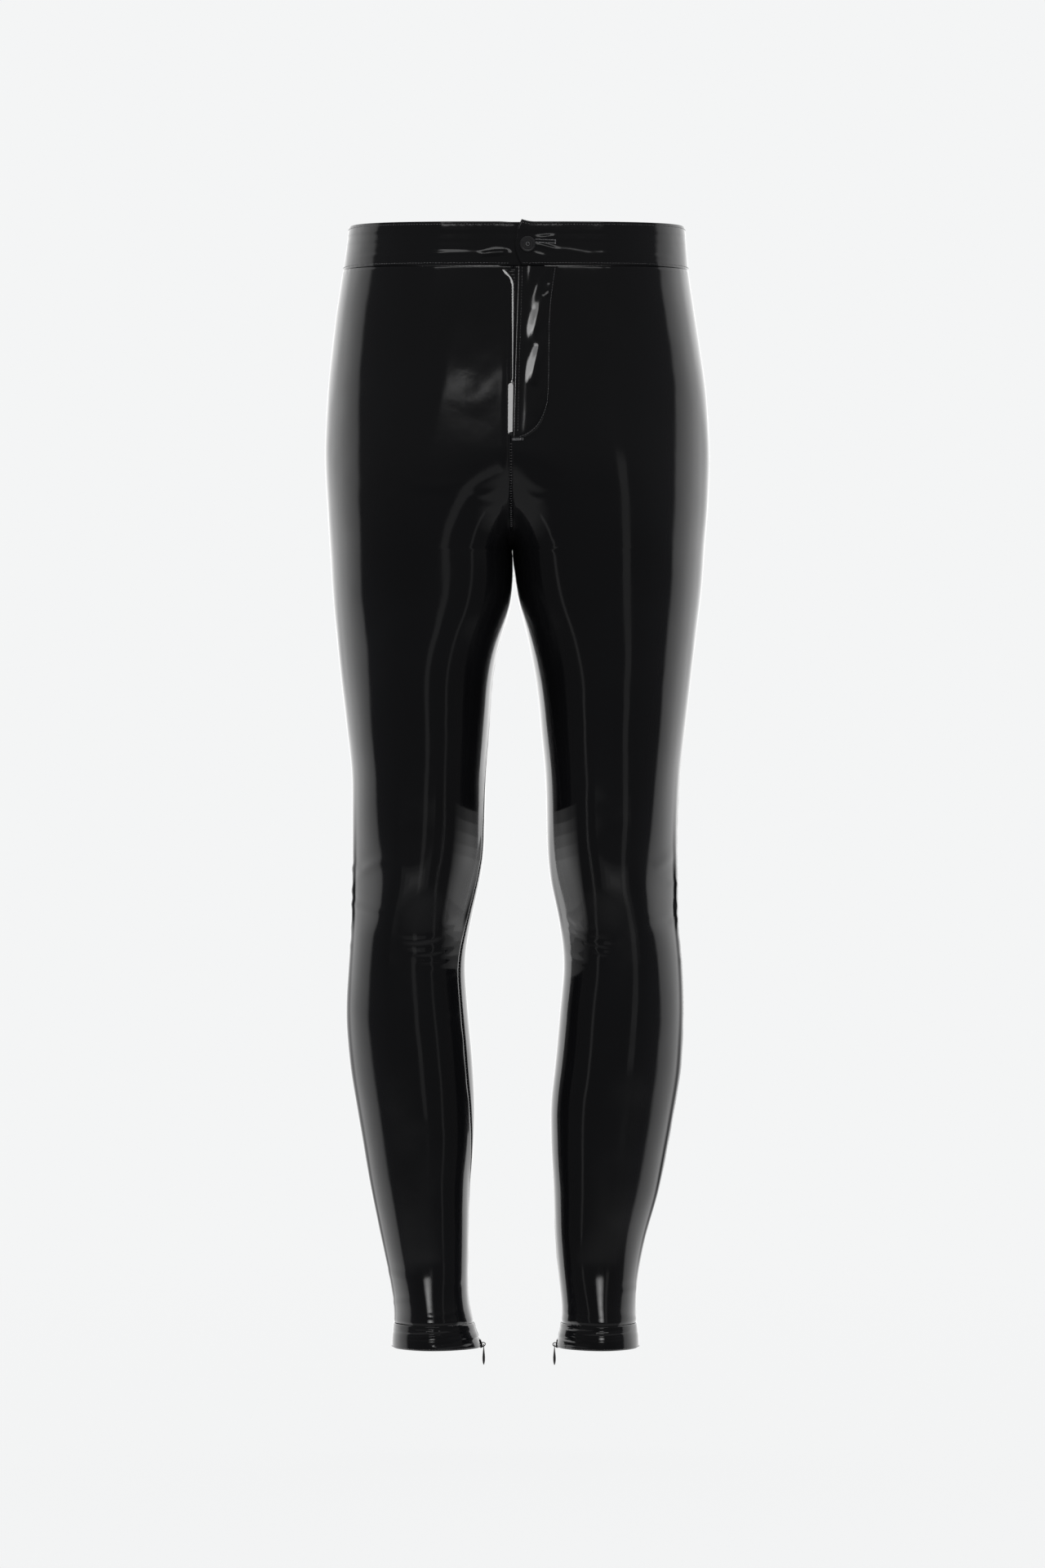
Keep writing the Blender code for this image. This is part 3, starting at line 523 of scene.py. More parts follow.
VINYL = vinyl_finish("black_vinyl", 0.035, 0.075, 0.13)
TRIM_VINYL = vinyl_finish("black_vinyl_folded", 0.05, 0.07, 0.12)
print("vinyl finishes:", VINYL.name, TRIM_VINYL.name)


# %% Knit backing, thread, button, lacquered metal and tape
def plain_finish(name, dark, light, rough, depth, scale, knit=True):
    """A finish from one weave or noise pattern: colour, roughness and bump share it."""
    material, tree, shader, place = start_material(name)
    if knit:
        inputs = {"Vector": place, "Scale": scale, "Distortion": 2.5, "Detail Scale": 3.0}
        pattern = new_node(tree, "TexWave", inputs).outputs["Fac"]
    else:
        pattern = noise(tree, place, scale, 3.0, 0.6)
    feed(tree, shader, {
        "Base Color": colour_between(tree, pattern, dark, light),
        "Roughness": ramp(tree, pattern, 0.2, 0.8, *rough),
        "Normal": bump(tree, maths(tree, "MULTIPLY", pattern, depth)),
    })
    return material


BACKING = plain_finish(
    "knit_backing", (0.008, 0.008, 0.009), (0.022, 0.022, 0.024), (0.8, 0.95), 0.12, 260.0
)
THREAD = plain_finish(
    "black_thread", (0.012, 0.012, 0.013), (0.045, 0.045, 0.048), (0.38, 0.6), 0.05, 900.0
)
TAPE = plain_finish(
    "zip_tape", (0.006, 0.006, 0.007), (0.018, 0.018, 0.02), (0.75, 0.9), 0.10, 420.0
)
BUTTON = plain_finish(
    "button_resin", (0.045, 0.045, 0.048), (0.070, 0.070, 0.074), (0.26, 0.40), 0.01, 700.0, False
)
METAL = plain_finish(
    "lacquered_zip", (0.006, 0.006, 0.007), (0.012, 0.012, 0.013), (0.16, 0.30), 0.012, 520.0, False
)
print("other finishes:", *(finish.name for finish in (BACKING, THREAD, TAPE, BUTTON, METAL)))

# %% [markdown]
# ## Leg panels
# Four panels make the legs and the body: a front and a back for each leg. Their columns crowd
# towards the seams, because a seam is a narrow thing: the cloth rolls down into it over a
# millimetre or so and swells a little beside it. Everything else on a panel is a soft, wide
# change of height, measured out from the smooth form along its normal.

# %% Crease tables, in mm: x0, z0, x1, z1, bow, half width, height
FRONT_CREASES = np.array([
    (-5.0, -214.0, -40.0, -228.0, 6.0, 3.0, 0.32),  # drag lines out of the crotch
    (-4.0, -222.0, -28.0, -241.0, 5.0, 2.6, 0.34),
    (-12.0, -211.0, -96.0, -219.0, 5.0, 5.0, 0.22),
    (-4.0, -240.0, -20.0, -276.0, 3.0, 3.0, 0.30),
    (2.0, -215.0, 26.0, -232.0, -6.0, 3.0, 0.34),
    (4.0, -209.0, 46.0, -220.0, -6.0, 4.6, 0.22),
    (1.0, -242.0, 14.0, -288.0, -3.0, 3.0, 0.28),
    (-10.0, -104.0, -46.0, -156.0, 3.0, 12.0, 0.12),  # a soft rise beside the fly
    (29.0, -262.0, 38.0, -279.0, 2.5, 1.6, 0.30),  # a small dent on the left thigh
    (29.0, -266.0, 37.0, -283.0, -3.5, 1.6, 0.25),
    (-150.0, -577.0, -112.0, -556.0, 4.0, 4.0, 0.60),  # folds beside the right knee
    (-151.0, -596.0, -116.0, -603.0, -3.0, 3.0, 0.50),
    (-60.0, -621.0, -104.0, -629.0, 4.0, 2.6, 0.36),
    (-46.0, -627.0, -96.0, -641.0, 5.0, 2.6, 0.40),
    (-50.0, -641.0, -92.0, -648.0, 3.0, 2.2, 0.34),
    (-46.0, -652.0, -78.0, -654.0, 3.0, 2.4, 0.34),
    (-52.0, -611.0, -70.0, -618.0, 2.0, 2.0, 0.30),
    (-50.0, -693.0, -66.0, -703.0, 2.0, 3.0, 0.35),
    (148.0, -547.0, 124.0, -562.0, 3.0, 4.5, 0.60),  # and beside the left one
    (149.0, -604.0, 112.0, -608.0, 3.0, 3.0, 0.45),
    (44.0, -607.0, 72.0, -626.0, -4.0, 2.4, 0.55),
    (46.0, -619.0, 86.0, -634.0, -4.0, 2.2, 0.60),
    (66.0, -634.0, 84.0, -641.0, -2.0, 1.8, 0.45),
    (45.0, -640.0, 66.0, -650.0, -2.0, 2.0, 0.35),
    (-48.0, -940.0, -64.0, -944.0, 2.0, 2.5, 0.35),  # small folds above the hem bands
    (-46.0, -966.0, -88.0, -972.0, 3.0, 1.8, 0.40),
    (40.0, -968.0, 74.0, -974.0, -2.0, 1.8, 0.40),
])
BACK_CREASES = np.array([
    (-6.0, -232.0, -70.0, -262.0, 8.0, 5.0, 0.70),  # under the seat
    (-10.0, -252.0, -110.0, -276.0, 12.0, 6.0, 0.80),
    (-30.0, -276.0, -128.0, -286.0, 9.0, 7.0, 0.60),
    (-5.0, -262.0, -34.0, -300.0, 4.0, 4.0, 0.50),
    (5.0, -228.0, 64.0, -260.0, -8.0, 5.0, 0.75),
    (12.0, -256.0, 118.0, -272.0, -12.0, 6.0, 0.75),
    (34.0, -280.0, 120.0, -293.0, -8.0, 7.0, 0.55),
    (4.0, -258.0, 30.0, -304.0, -4.0, 4.0, 0.50),
    (-44.0, -566.0, -138.0, -576.0, -8.0, 4.0, 0.90),  # behind the right knee
    (-50.0, -586.0, -146.0, -590.0, 7.0, 4.5, 1.05),
    (-46.0, -604.0, -132.0, -612.0, -6.0, 3.6, 0.95),
    (-58.0, -620.0, -142.0, -622.0, 5.0, 4.2, 0.90),
    (-52.0, -638.0, -120.0, -646.0, -5.0, 3.4, 0.70),
    (-70.0, -656.0, -140.0, -654.0, 4.0, 4.0, 0.55),
    (40.0, -560.0, 132.0, -572.0, 7.0, 4.2, 0.85),  # behind the left knee
    (46.0, -583.0, 142.0, -584.0, -8.0, 4.2, 1.00),
    (42.0, -598.0, 128.0, -609.0, 6.0, 3.8, 1.00),
    (52.0, -618.0, 140.0, -617.0, -5.0, 3.8, 0.85),
    (48.0, -632.0, 118.0, -643.0, 5.0, 3.6, 0.75),
    (66.0, -652.0, 138.0, -655.0, -4.0, 3.8, 0.50),
    (-50.0, -948.0, -104.0, -956.0, 4.0, 3.0, 0.55),  # above the heels
    (-46.0, -966.0, -98.0, -970.0, -3.0, 2.4, 0.50),
    (44.0, -944.0, 98.0, -954.0, -4.0, 3.0, 0.55),
    (48.0, -964.0, 100.0, -971.0, 3.0, 2.4, 0.50),
])
SIDE_CREASES = np.array([  # y and z on the outer side of each leg
    (-50.0, -572.0, 8.0, -580.0, 4.0, 3.4, 0.60),
    (-34.0, -590.0, 22.0, -586.0, -4.0, 3.8, 0.70),
    (-46.0, -606.0, 14.0, -611.0, 4.0, 3.2, 0.65),
    (-26.0, -624.0, 24.0, -620.0, -3.0, 3.6, 0.55),
    (-30.0, -642.0, 20.0, -650.0, 3.0, 3.4, 0.45),
    (-40.0, -948.0, 34.0, -944.0, 3.0, 3.0, 0.35),
    (-20.0, -964.0, 40.0, -970.0, -3.0, 2.6, 0.45),
])
print("creases:", len(FRONT_CREASES), "front,", len(BACK_CREASES), "back,", len(SIDE_CREASES), "side")

# %% Flanks, knee and ankle
# A row of FLANK is z, and how far the right leg's outer and inner flank and the left leg's outer
# and inner flank are drawn back, all in mm.
FLANK = np.array([
    (-20.0, -2.4, 0.0, -2.6, 0.0), (-70.0, -2.8, 0.0, -3.0, 0.0), (-110.0, -1.8, 0.0, -2.0, 0.0),
    (-190.0, 1.8, 0.0, 3.0, 0.0), (-300.0, 0.4, 0.0, 1.4, 0.0), (-370.0, 3.2, 0.0, 2.2, 0.0),
    (-443.0, 0.6, 0.0, 0.8, 0.0), (-517.0, 3.2, 0.4, 3.6, 0.6), (-560.0, 7.0, 2.2, 7.2, 2.8),
    (-585.0, 8.8, 4.4, 9.8, 4.8), (-607.0, 8.2, 5.2, 9.8, 5.2), (-628.0, 4.8, 1.6, 6.0, 1.6),
    (-700.0, 4.4, 0.0, 5.2, 0.0), (-742.0, 4.8, 0.0, 6.0, 0.0), (-851.0, 4.8, 0.0, 5.6, 0.0),
    (-906.0, 4.2, 0.0, 4.0, 0.0), (-950.0, 3.4, 0.0, 1.4, 0.0), (-1004.5, 0.4, 0.0, 0.4, 0.0),
])
KNEE_Z, KNEE_TALL, KNEE_OUT = -574.0, 34.0, 3.2
KNEE_WIDE, FLARE_WIDE = 0.42, 0.62  # shares of the way from the crown to a side
FLANK_OUTER, FLANK_INNER, FLANK_FULL = 0.32, 0.46, 0.88  # shares where it starts and is whole
FLANK_END, FLANK_LAST = 0.92, 0.075  # the share where it starts to end, and over how much
FLARE = np.array([  # z, and how far the front of an ankle stands out, in mm
    (-20.0, 0.0), (-922.0, 0.0), (-934.0, 0.5), (-944.0, 1.7), (-960.0, 4.0), (-974.0, 6.0),
    (-984.0, 6.7), (-1004.5, 6.9),
])


def across_share(x, z, side):
    """Place across a leg's front: -1 at its inner side, 0 at the crown and 1 at its outer side."""
    leg = LEGS[side]
    inner, outer = column(z, leg + "_in"), column(z, leg + "_out")
    crown = inner + (outer - inner) * column(z, "front_crown")
    away = (x - crown) * side
    return np.where(away > 0, away / np.abs(outer - crown), away / np.abs(crown - inner))


def leg_shape(x, z, side):
    """Height on the front of a leg: a knee that stands out, and an ankle that flares towards the
    hem band."""
    share = across_share(x, z, side)
    knee = KNEE_OUT * bell(z, KNEE_Z, KNEE_TALL) * bell(share, 0.0, KNEE_WIDE)
    flare = smooth_value(z, FLARE[:, 0], FLARE[:, 1]) * bell(share, 0.0, FLARE_WIDE)
    return knee + flare


def drawn_back(x, z, side):
    """How far the cloth of a flank moves straight back: the FLANK table times a share that starts
    a third of the way out and ends where the cloth turns round the side. Because the cloth there
    runs front to back, the outline in the front view stays as it is."""
    share = across_share(x, z, side)
    first = 3 if side > 0 else 1
    outer, inner = [smooth_value(z, FLANK[:, 0], FLANK[:, first + k]) for k in (0, 1)]
    away, begin = np.abs(share), np.where(share > 0, FLANK_OUTER, FLANK_INNER)
    rising = smooth_step((away - begin) / (FLANK_FULL - begin))
    ending = 1.0 - smooth_step((away - FLANK_END) / FLANK_LAST)
    return np.where(share > 0, outer, inner) * (rising * ending)


print("knee stands out by", KNEE_OUT, "mm")

# %% Building a panel
EDGE_STEPS = np.array([0.0, 0.45, 1.0, 1.7, 2.7, 4.2, 6.4])
SEAM_DEPTH, TOP_DEPTH = 0.75, 0.3
CALM = 9.0  # how far from an edge, in mm, waves and creases have their whole height
TURNED = 1.6  # how fast creases come in as the cloth turns to the front or the back
SIDE_STEP = 7.0  # how far the two legs' side creases lie above and below the table's, in mm
LEG_EASE, FLANK_EASE = 14.0, 12.0  # mm from a seam over which a leg's shape and flank come in
PANEL_COLUMNS, BAND_COLUMNS, HEM_COLUMNS = 74, 176, 120


def crowded(count):
    """Column distances that crowd towards both edges, with count even ones between."""
    def columns(start, end):
        middle = np.linspace(start + EDGE_STEPS[-1], end - EDGE_STEPS[-1], count)[1:-1]
        return np.concatenate([start + EDGE_STEPS, middle, end - EDGE_STEPS[::-1]])
    return columns


def seam_roll(edge):
    """Height beside a seam: -depth exp(-(e/1.1)^2) + 0.22 exp(-((e - 3.4)/1.9)^2)."""
    return -SEAM_DEPTH * bell(edge, 0.0, 1.1) + 0.22 * bell(edge, 3.4, 1.9)


def fabric_waves(points):
    """Slow waves that any stretched cloth has, in mm."""
    return 0.26 * soft_noise(points, 46.0) + 0.07 * soft_noise(points + 300.0, 17.0)


def seam_puckers(edge, along, points):
    """Small waves along a seam: sin of the length along it, faded with the distance from it."""
    uneven = 0.6 + 0.4 * soft_noise(points + 90.0, 14.0)
    return 0.16 * np.sin(along * 2 * math.pi / 3.6) * uneven * bell(edge, 2.2, 1.9)


def under_placket(x, z):
    """1 where the fly placket covers the left front, 0 elsewhere, with a soft border."""
    sewn = smooth_value(z, FLY[:, 0], FLY[:, 2])
    return smooth_step((sewn + 4.0 - x) / 4.0) * smooth_step((z + 184.0) / 5.0)


FLY = np.array([  # z, x of the placket's lapped edge and x of its J-shaped sewn edge, in mm
    (-20.6, 2.0, 37.9), (-38.0, 1.6, 35.2), (-56.0, 1.0, 33.0), (-80.0, 0.2, 31.7),
    (-107.0, -0.6, 31.4), (-131.0, -1.2, 31.0), (-146.0, -1.6, 29.8), (-157.0, -1.9, 26.6),
    (-166.0, -2.1, 21.8), (-172.5, -2.2, 16.0), (-176.5, -2.3, 9.5), (-178.5, -2.3, 4.0),
])


def panel_bounds(face, half):
    def bounds(outseam, whole, turn):
        if face == "front":
            return turn + half, outseam + turn - half
        return outseam + turn + half, whole + turn - half
    return bounds


def keep_side(grid, levels, side, margin):
    """Keeps a grid on its own side of the centre seam above the fork."""
    seam = column(levels, "left_in") + side * margin
    kept = side * np.maximum(side * grid[:, :, 0], side * seam)
    grid[:, :, 0] = np.where(levels >= FORK_Z, kept, grid[:, :, 0])


def panel_height(face, side, points, normal, where, levels):
    """Distance to the nearest edge of a panel and its height over the smooth form."""
    x, y, z = np.moveaxis(points, 2, 0)
    sides = np.minimum(where, where[:, -1:] - where)
    top, low = PANEL_ROWS[0] - levels, levels - PANEL_BOTTOM
    edge = np.minimum(sides, np.minimum(top, low))
    calm = smooth_step(edge / CALM)
    height = fabric_waves(points) * calm + seam_puckers(sides, z, points)
    height = height + seam_puckers(top, x, points)
    facing = smooth_step(normal[:, :, 1] * (-TURNED if face == "front" else TURNED))
    table = FRONT_CREASES if face == "front" else BACK_CREASES
    height = height + crease_height(x, z, table) * facing * calm
    outward = smooth_step((side * normal[:, :, 0] - 0.35) / 0.4)
    height = height + crease_height(y, z + SIDE_STEP * side, SIDE_CREASES) * outward * calm
    if face == "front":
        height = height + leg_shape(x, z, side) * facing * smooth_step(sides / LEG_EASE)
        if side > 0:
            height = height * (1.0 - under_placket(x, z))
    return edge, height + seam_roll(np.minimum(sides, low)) - TOP_DEPTH * bell(top, 0.0, 0.7)


def meet_at_seams(inside, face, side):
    """Puts a panel's inner edges exactly on its seams, so that each seam is a closed groove. At
    the centre seam they lie inward in the seam's own plane, and elsewhere along the normal."""
    seams, normal, _ = patch(
        PANEL_ROWS, side, panel_bounds(face, 0.0), lambda start, end: np.array([start, end])
    )
    body = PANEL_ROWS >= FORK_Z
    centre = 0 if face == "front" else -1
    for end in (0, -1):
        inside[:, end] = seams[:, end] - normal[:, end] * (WALL + SEAM_DEPTH)
    line = seams[body, centre]
    line[:, 0] = column(PANEL_ROWS[body], "left_in")
    tangent = unit(np.gradient(line, axis=0)) * (1.0 if face == "front" else -1.0)
    inward = np.stack([0.0 * line[:, 0], -tangent[:, 2], tangent[:, 1]], axis=1)
    inside[body, centre] = line + inward * (WALL + SEAM_DEPTH)
    inside[0, :, 2] += SEAM_GAP
    inside[-1, :, 2] -= SEAM_GAP


def make_panel(face, side):
    leg = LEGS[side]
    points, normal, where = patch(
        PANEL_ROWS, side, panel_bounds(face, SEAM_GAP / 2), crowded(PANEL_COLUMNS)
    )
    levels = np.broadcast_to(PANEL_ROWS[:, None], where.shape)
    edge, height = panel_height(face, side, points, normal, where, levels)
    outside = points + normal * height[:, :, None]
    if face == "front":
        sides = smooth_step(np.minimum(where, where[:, -1:] - where) / FLANK_EASE)
        outside[:, :, 1] += drawn_back(points[:, :, 0], levels, side) * sides
    inside = outside - normal * WALL
    keep_side(outside, levels, side, SEAM_GAP / 2)
    keep_side(inside, levels, side, 0.0)
    meet_at_seams(inside, face, side)
    obj = shell(f"{face}_panel_{leg}", outside, inside, VINYL, side < 0, edge)
    line_inside(obj, outside.shape)
    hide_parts(f"{face}_{leg}")
    return obj, outside


def line_inside(obj, shape):
    """Gives a shell's inner faces the knit backing."""
    obj.data.materials.append(BACKING)
    quads = (shape[0] - 1) * (shape[1] - 1)
    index = np.zeros(len(obj.data.polygons), np.int32)
    index[quads:2 * quads] = 1
    obj.data.polygons.foreach_set("material_index", index)


PANELS = {}
for face in ("front", "back"):
    for side, leg in LEGS.items():
        PANELS[face, leg], grid = make_panel(face, side)

# %% [markdown]
# ## Waistband
# The waistband is a folded strip, so it is twice as thick as the rest and its edges are round.
# Its left half laps over the right half at the front and ends in a raised corner. A row of
# stitches runs close to each long edge. The pull of the button draws a few creases into it.

# %% Waistband grids
BAND_WALL, BAND_TIP = 2.0, 2.2
BAND_END_TOP, BAND_END_MIDDLE, BAND_END_BOTTOM = 5.2, -0.6, 5.6
UNDERLAP_END, TUCK_START = 26.0, -16.0
BACK_MEET_X, BACK_GAP = -2.4, 0.12  # where the two halves meet at the back, and their gap
BAND_EDGE = np.array([0.0, 0.3, 0.7, 1.2, 1.8, 2.5, 3.4])
BAND_LEVELS = np.concatenate([
    BAND_TOP - BAND_EDGE, np.linspace(BAND_TOP - 3.4, BAND_BOTTOM + 3.4, 26)[1:-1],
    BAND_BOTTOM + BAND_EDGE[::-1],
])
BAND_CREASES = np.array([
    (-150.0, -11.5, -60.0, -12.5, 1.0, 1.6, 0.18),
    (-112.0, -12.0, -24.0, -11.5, 0.6, 1.6, 0.28),
    (-34.0, -13.6, -3.0, -10.6, 0.8, 2.2, 1.00),
    (-30.0, -9.4, -9.0, -6.8, 0.6, 1.4, 0.35),
    (-12.0, -17.0, -3.0, -11.0, 0.5, 1.2, 0.45),
    (18.0, 2.6, 35.0, 4.6, -0.6, 1.5, 0.55),
    (17.0, -3.6, 38.0, -9.0, 0.8, 1.5, 0.60),
    (24.0, -8.0, 70.0, -13.5, 1.5, 2.0, 0.16),
    (14.0, -10.0, 28.0, -14.5, -0.8, 1.6, 0.30),
    (60.0, -12.0, 150.0, -12.5, 1.0, 1.6, 0.15),
])
BACK_BAND_CREASES = np.array([
    (-60.0, -11.0, 20.0, -12.0, 1.5, 1.8, 0.30),
    (30.0, -10.0, 110.0, -12.0, -1.2, 1.8, 0.28),
    (-130.0, -11.0, -80.0, -10.0, 1.0, 1.7, 0.25),
])


def band_end_x(z):
    """x of the lapped end: it bulges forward at the middle of the band's height."""
    height = (z - BAND_BOTTOM) / (BAND_TOP - BAND_BOTTOM)
    straight = BAND_END_BOTTOM + (BAND_END_TOP - BAND_END_BOTTOM) * height
    return BAND_END_MIDDLE + (straight - BAND_END_MIDDLE) * (2 * height - 1) ** 2


def band_rows(side, ends):
    """Points and normals of the waistband's outer form, from the centre back round to x = end at
    the front, and the distances along it. The right half goes straight on past the centre."""
    ring = rings(BAND_LEVELS, side)[:, ::-1]
    if side < 0:
        beyond = np.linspace(0.0, 1.0, 30)[1:] * (UNDERLAP_END + 8.0)
        tail = np.repeat(ring[:, -1:], len(beyond), axis=1)
        tail[:, :, 0] += beyond
        ring = np.concatenate([ring, tail], axis=1)
    along = np.gradient(ring, axis=1)
    normal = unit(np.cross(np.gradient(ring, axis=0), along) * -side)
    distance = length_along(ring)
    front = np.arange(ring.shape[1]) > 2.6 * FINE
    points, normals, where = [], [], []
    for row, d in enumerate(distance):
        stop = np.interp(ends[row] * -side, ring[row, front, 0] * -side, d[front])
        wanted = crowded(BAND_COLUMNS)(0.0, stop)
        points.append(read_at(wanted, d, ring[row]))
        normals.append(read_at(wanted, d, normal[row]))
        where.append(wanted)
    return np.array(points), unit(np.array(normals)), np.array(where)


def band_height(points, where):
    """Height over the band's form: a low crown, round edges, a groove at each stitch row, the
    creases, and waves. The distance to the nearest long edge comes back too."""
    x, y, z = np.moveaxis(points, 2, 0)
    down = np.broadcast_to((BAND_TOP - BAND_LEVELS)[:, None], x.shape)
    tall = BAND_TOP - BAND_BOTTOM
    long_edge = np.minimum(down, tall - down)
    edge = np.minimum(long_edge, np.where(y < 0, where[:, -1:] - where, 99.0))
    fold = edge + np.where(edge == down, 0.6, 0.0)
    height = 0.18 * (1.0 - (2.0 * down / tall - 1.0) ** 2) - 0.7 * bell(fold, 0.0, 0.45)
    height = height - 0.05 * bell(long_edge, 2.3, 0.55)
    height = height - 0.30 * bell(where, 0.0, 0.6)
    front = smooth_step(-y / 40.0)
    creases = crease_height(x, z, BAND_CREASES) * front
    creases = creases + crease_height(x, z, BACK_BAND_CREASES) * smooth_step(y / 40.0)
    waves = 0.14 * soft_noise(points, 30.0) + 0.05 * soft_noise(points + 50.0, 9.0)
    inner = smooth_step(edge / 4.0)
    return edge, height + (creases + waves) * inner + seam_puckers(long_edge, where, points) * 0.6


def make_band(side):
    leg = LEGS[side]
    ends = band_end_x(BAND_LEVELS) if side > 0 else np.full(len(BAND_LEVELS), UNDERLAP_END)
    points, normal, where = band_rows(side, ends)
    edge, height = band_height(points, where)
    x, y = points[:, :, 0], points[:, :, 1]
    if side > 0:
        corner = np.clip(1.0 - (x - BAND_END_TOP) / 12.0, 0.0, 1.0) ** 2 * (y < 0)
        rise = smooth_step((BAND_LEVELS - 6.0) / 14.0)[:, None]
        points[:, :, 2] += corner * BAND_TIP * rise
    else:
        tuck = smooth_step((x - TUCK_START) / (BAND_END_MIDDLE - 2.0 - TUCK_START)) * (y < 0)
        points = points - normal * (tuck * (BAND_WALL + 0.5))[:, :, None]
        height = np.where(x > -1.0, np.minimum(height, 0.0), height)
    outside = points + normal * height[:, :, None]
    round_in = 0.8 * bell(edge, 0.0, 0.75)
    inside = points - normal * (BAND_WALL - round_in)[:, :, None]
    inside[:, 0, 0], outside[:, 0, 0] = BACK_MEET_X, BACK_MEET_X + BACK_GAP * side
    obj = shell(f"waistband_{leg}_cloth", outside, inside, TRIM_VINYL, side > 0, edge + 3.0)
    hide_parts(f"waistband_{leg}")
    return obj, outside, normal


BAND_GRIDS = {}
for side, leg in LEGS.items():
    band, *BAND_GRIDS[leg] = make_band(side)

# %% [markdown]
# ## Fly placket
# The placket laps over the opening and is sewn down along a J. It is its own piece, laid on the
# left front: the front's own smooth surface moved out. A flat strip runs along its free edge, the
# middle is padded by the facing behind it, and slanting folds cross it.

# %% Placket
FLY_WALL, FLY_PUFF, FLY_STRIP, FLY_WIDE = 1.2, 1.2, 3.6, 30.0
FLY_TOP, FLY_TURN, FLY_LOW = -20.6, -150.0, -178.5
FLY_EDGE = np.array([0.0, 0.25, 0.6, 1.1, 1.7])
FLY_HEM = np.array([1.6, 1.15, 0.75, 0.35, 0.0])
FLY_CREASES = np.array([
    (15.0, -60.0, 29.0, -22.0, 1.5, 3.6, 0.55),
    (16.0, -94.0, 30.5, -36.0, 2.2, 5.4, 1.55),
    (15.5, -131.0, 29.0, -80.0, 2.2, 5.4, 1.45),
    (16.0, -158.0, 27.0, -124.0, 1.6, 5.0, 0.20),
    (27.5, -50.0, 30.5, -44.0, 0.5, 1.6, 0.50),
])
FLY_LEVELS = np.concatenate([
    np.linspace(FLY_TOP, FLY_TURN, 130)[:-1], np.linspace(FLY_TURN, FLY_LOW, 42),
])


def front_y(x, z):
    """Depth of the left front's smooth surface at x: flat to the crown, then the outer
    superellipse (1 - u^n)^(1/n)."""
    front, middle, seam = column(z, "front"), column(z, "side"), column(z, "left_in")
    outer = column(z, "left_out")
    crown = seam + (outer - seam) * column(z, "front_crown")
    beyond = np.clip((x - crown) / (outer - crown), 0.0, 1.0)
    return middle + (front - middle) * (1.0 - beyond**ROUNDNESS) ** (1.0 / ROUNDNESS)


def placket_height(x, z, start, end):
    """Height over the front: the wall, its rolled edges, the flat strip, the padded middle and the
    folds. At the J the cloth comes down to the front in a short slope."""
    free, sewn = x - start, end - x
    low = np.minimum(sewn, z - FLY_LOW)
    middle = smooth_step((free - FLY_STRIP) / 9.0) * smooth_step((low - 1.2) / 4.0)
    share = np.clip((free - FLY_STRIP) / np.maximum(end - start - FLY_STRIP, 1.0), 0.0, 1.0)
    puff = FLY_PUFF * np.sin(math.pi * share) * np.clip((end - start) / 35.0, 0.0, 1.0)
    folds = crease_height(x, z, FLY_CREASES)
    height = FLY_WALL + (0.25 + puff + folds) * middle
    height = height - 0.12 * bell(free, FLY_STRIP + 0.3, 0.7) - 0.4 * bell(free, 0.0, 0.35)
    slope = (FLY_WALL - 0.05) * (1.0 - smooth_step(low / 1.6))
    height = height - slope - 0.12 * bell(low, 1.9, 0.5)
    return height, np.minimum(free, low)


def make_placket():
    z = FLY_LEVELS[:, None]
    start, end = smooth_value(z, FLY[:, 0], FLY[:, 1]), smooth_value(z, FLY[:, 0], FLY[:, 2])
    columns = np.concatenate([
        FLY_EDGE / FLY_WIDE, np.linspace(0.08, 0.93, 44), 1.0 - FLY_HEM / FLY_WIDE,
    ])[None, :]
    x = start + (end - start) * columns
    z = np.broadcast_to(z, x.shape)
    height, edge = placket_height(x, z, start, end)
    waves = 0.05 * soft_noise(np.stack([x, 0 * x, z], 2), 8.0) * smooth_step(edge / 3.0)
    y = front_y(x, z)
    lift = waist_lift(y, z, column(z, "front"), column(z, "back"))
    outside = np.stack([x, y - SEAM_GAP - height - waves, z + lift], axis=2)
    inside = np.stack([x, y - 0.12, z + lift], axis=2)
    obj = shell("fly_placket_cloth", outside, inside, TRIM_VINYL, False, edge + 2.0)
    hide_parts("fly_placket")
    return obj, outside


PLACKET, PLACKET_GRID = make_placket()

# %% [markdown]
# The right front's own edge is turned in beside the placket and sewn through, so it stands up as a
# narrow puckered roll. Low down, where the fly ends, it flattens into a facet that catches light.

# %% Turned edge of the right front
ROLL_TOP, ROLL_TURN, ROLL_LOW = -22.5, -124.0, -176.0


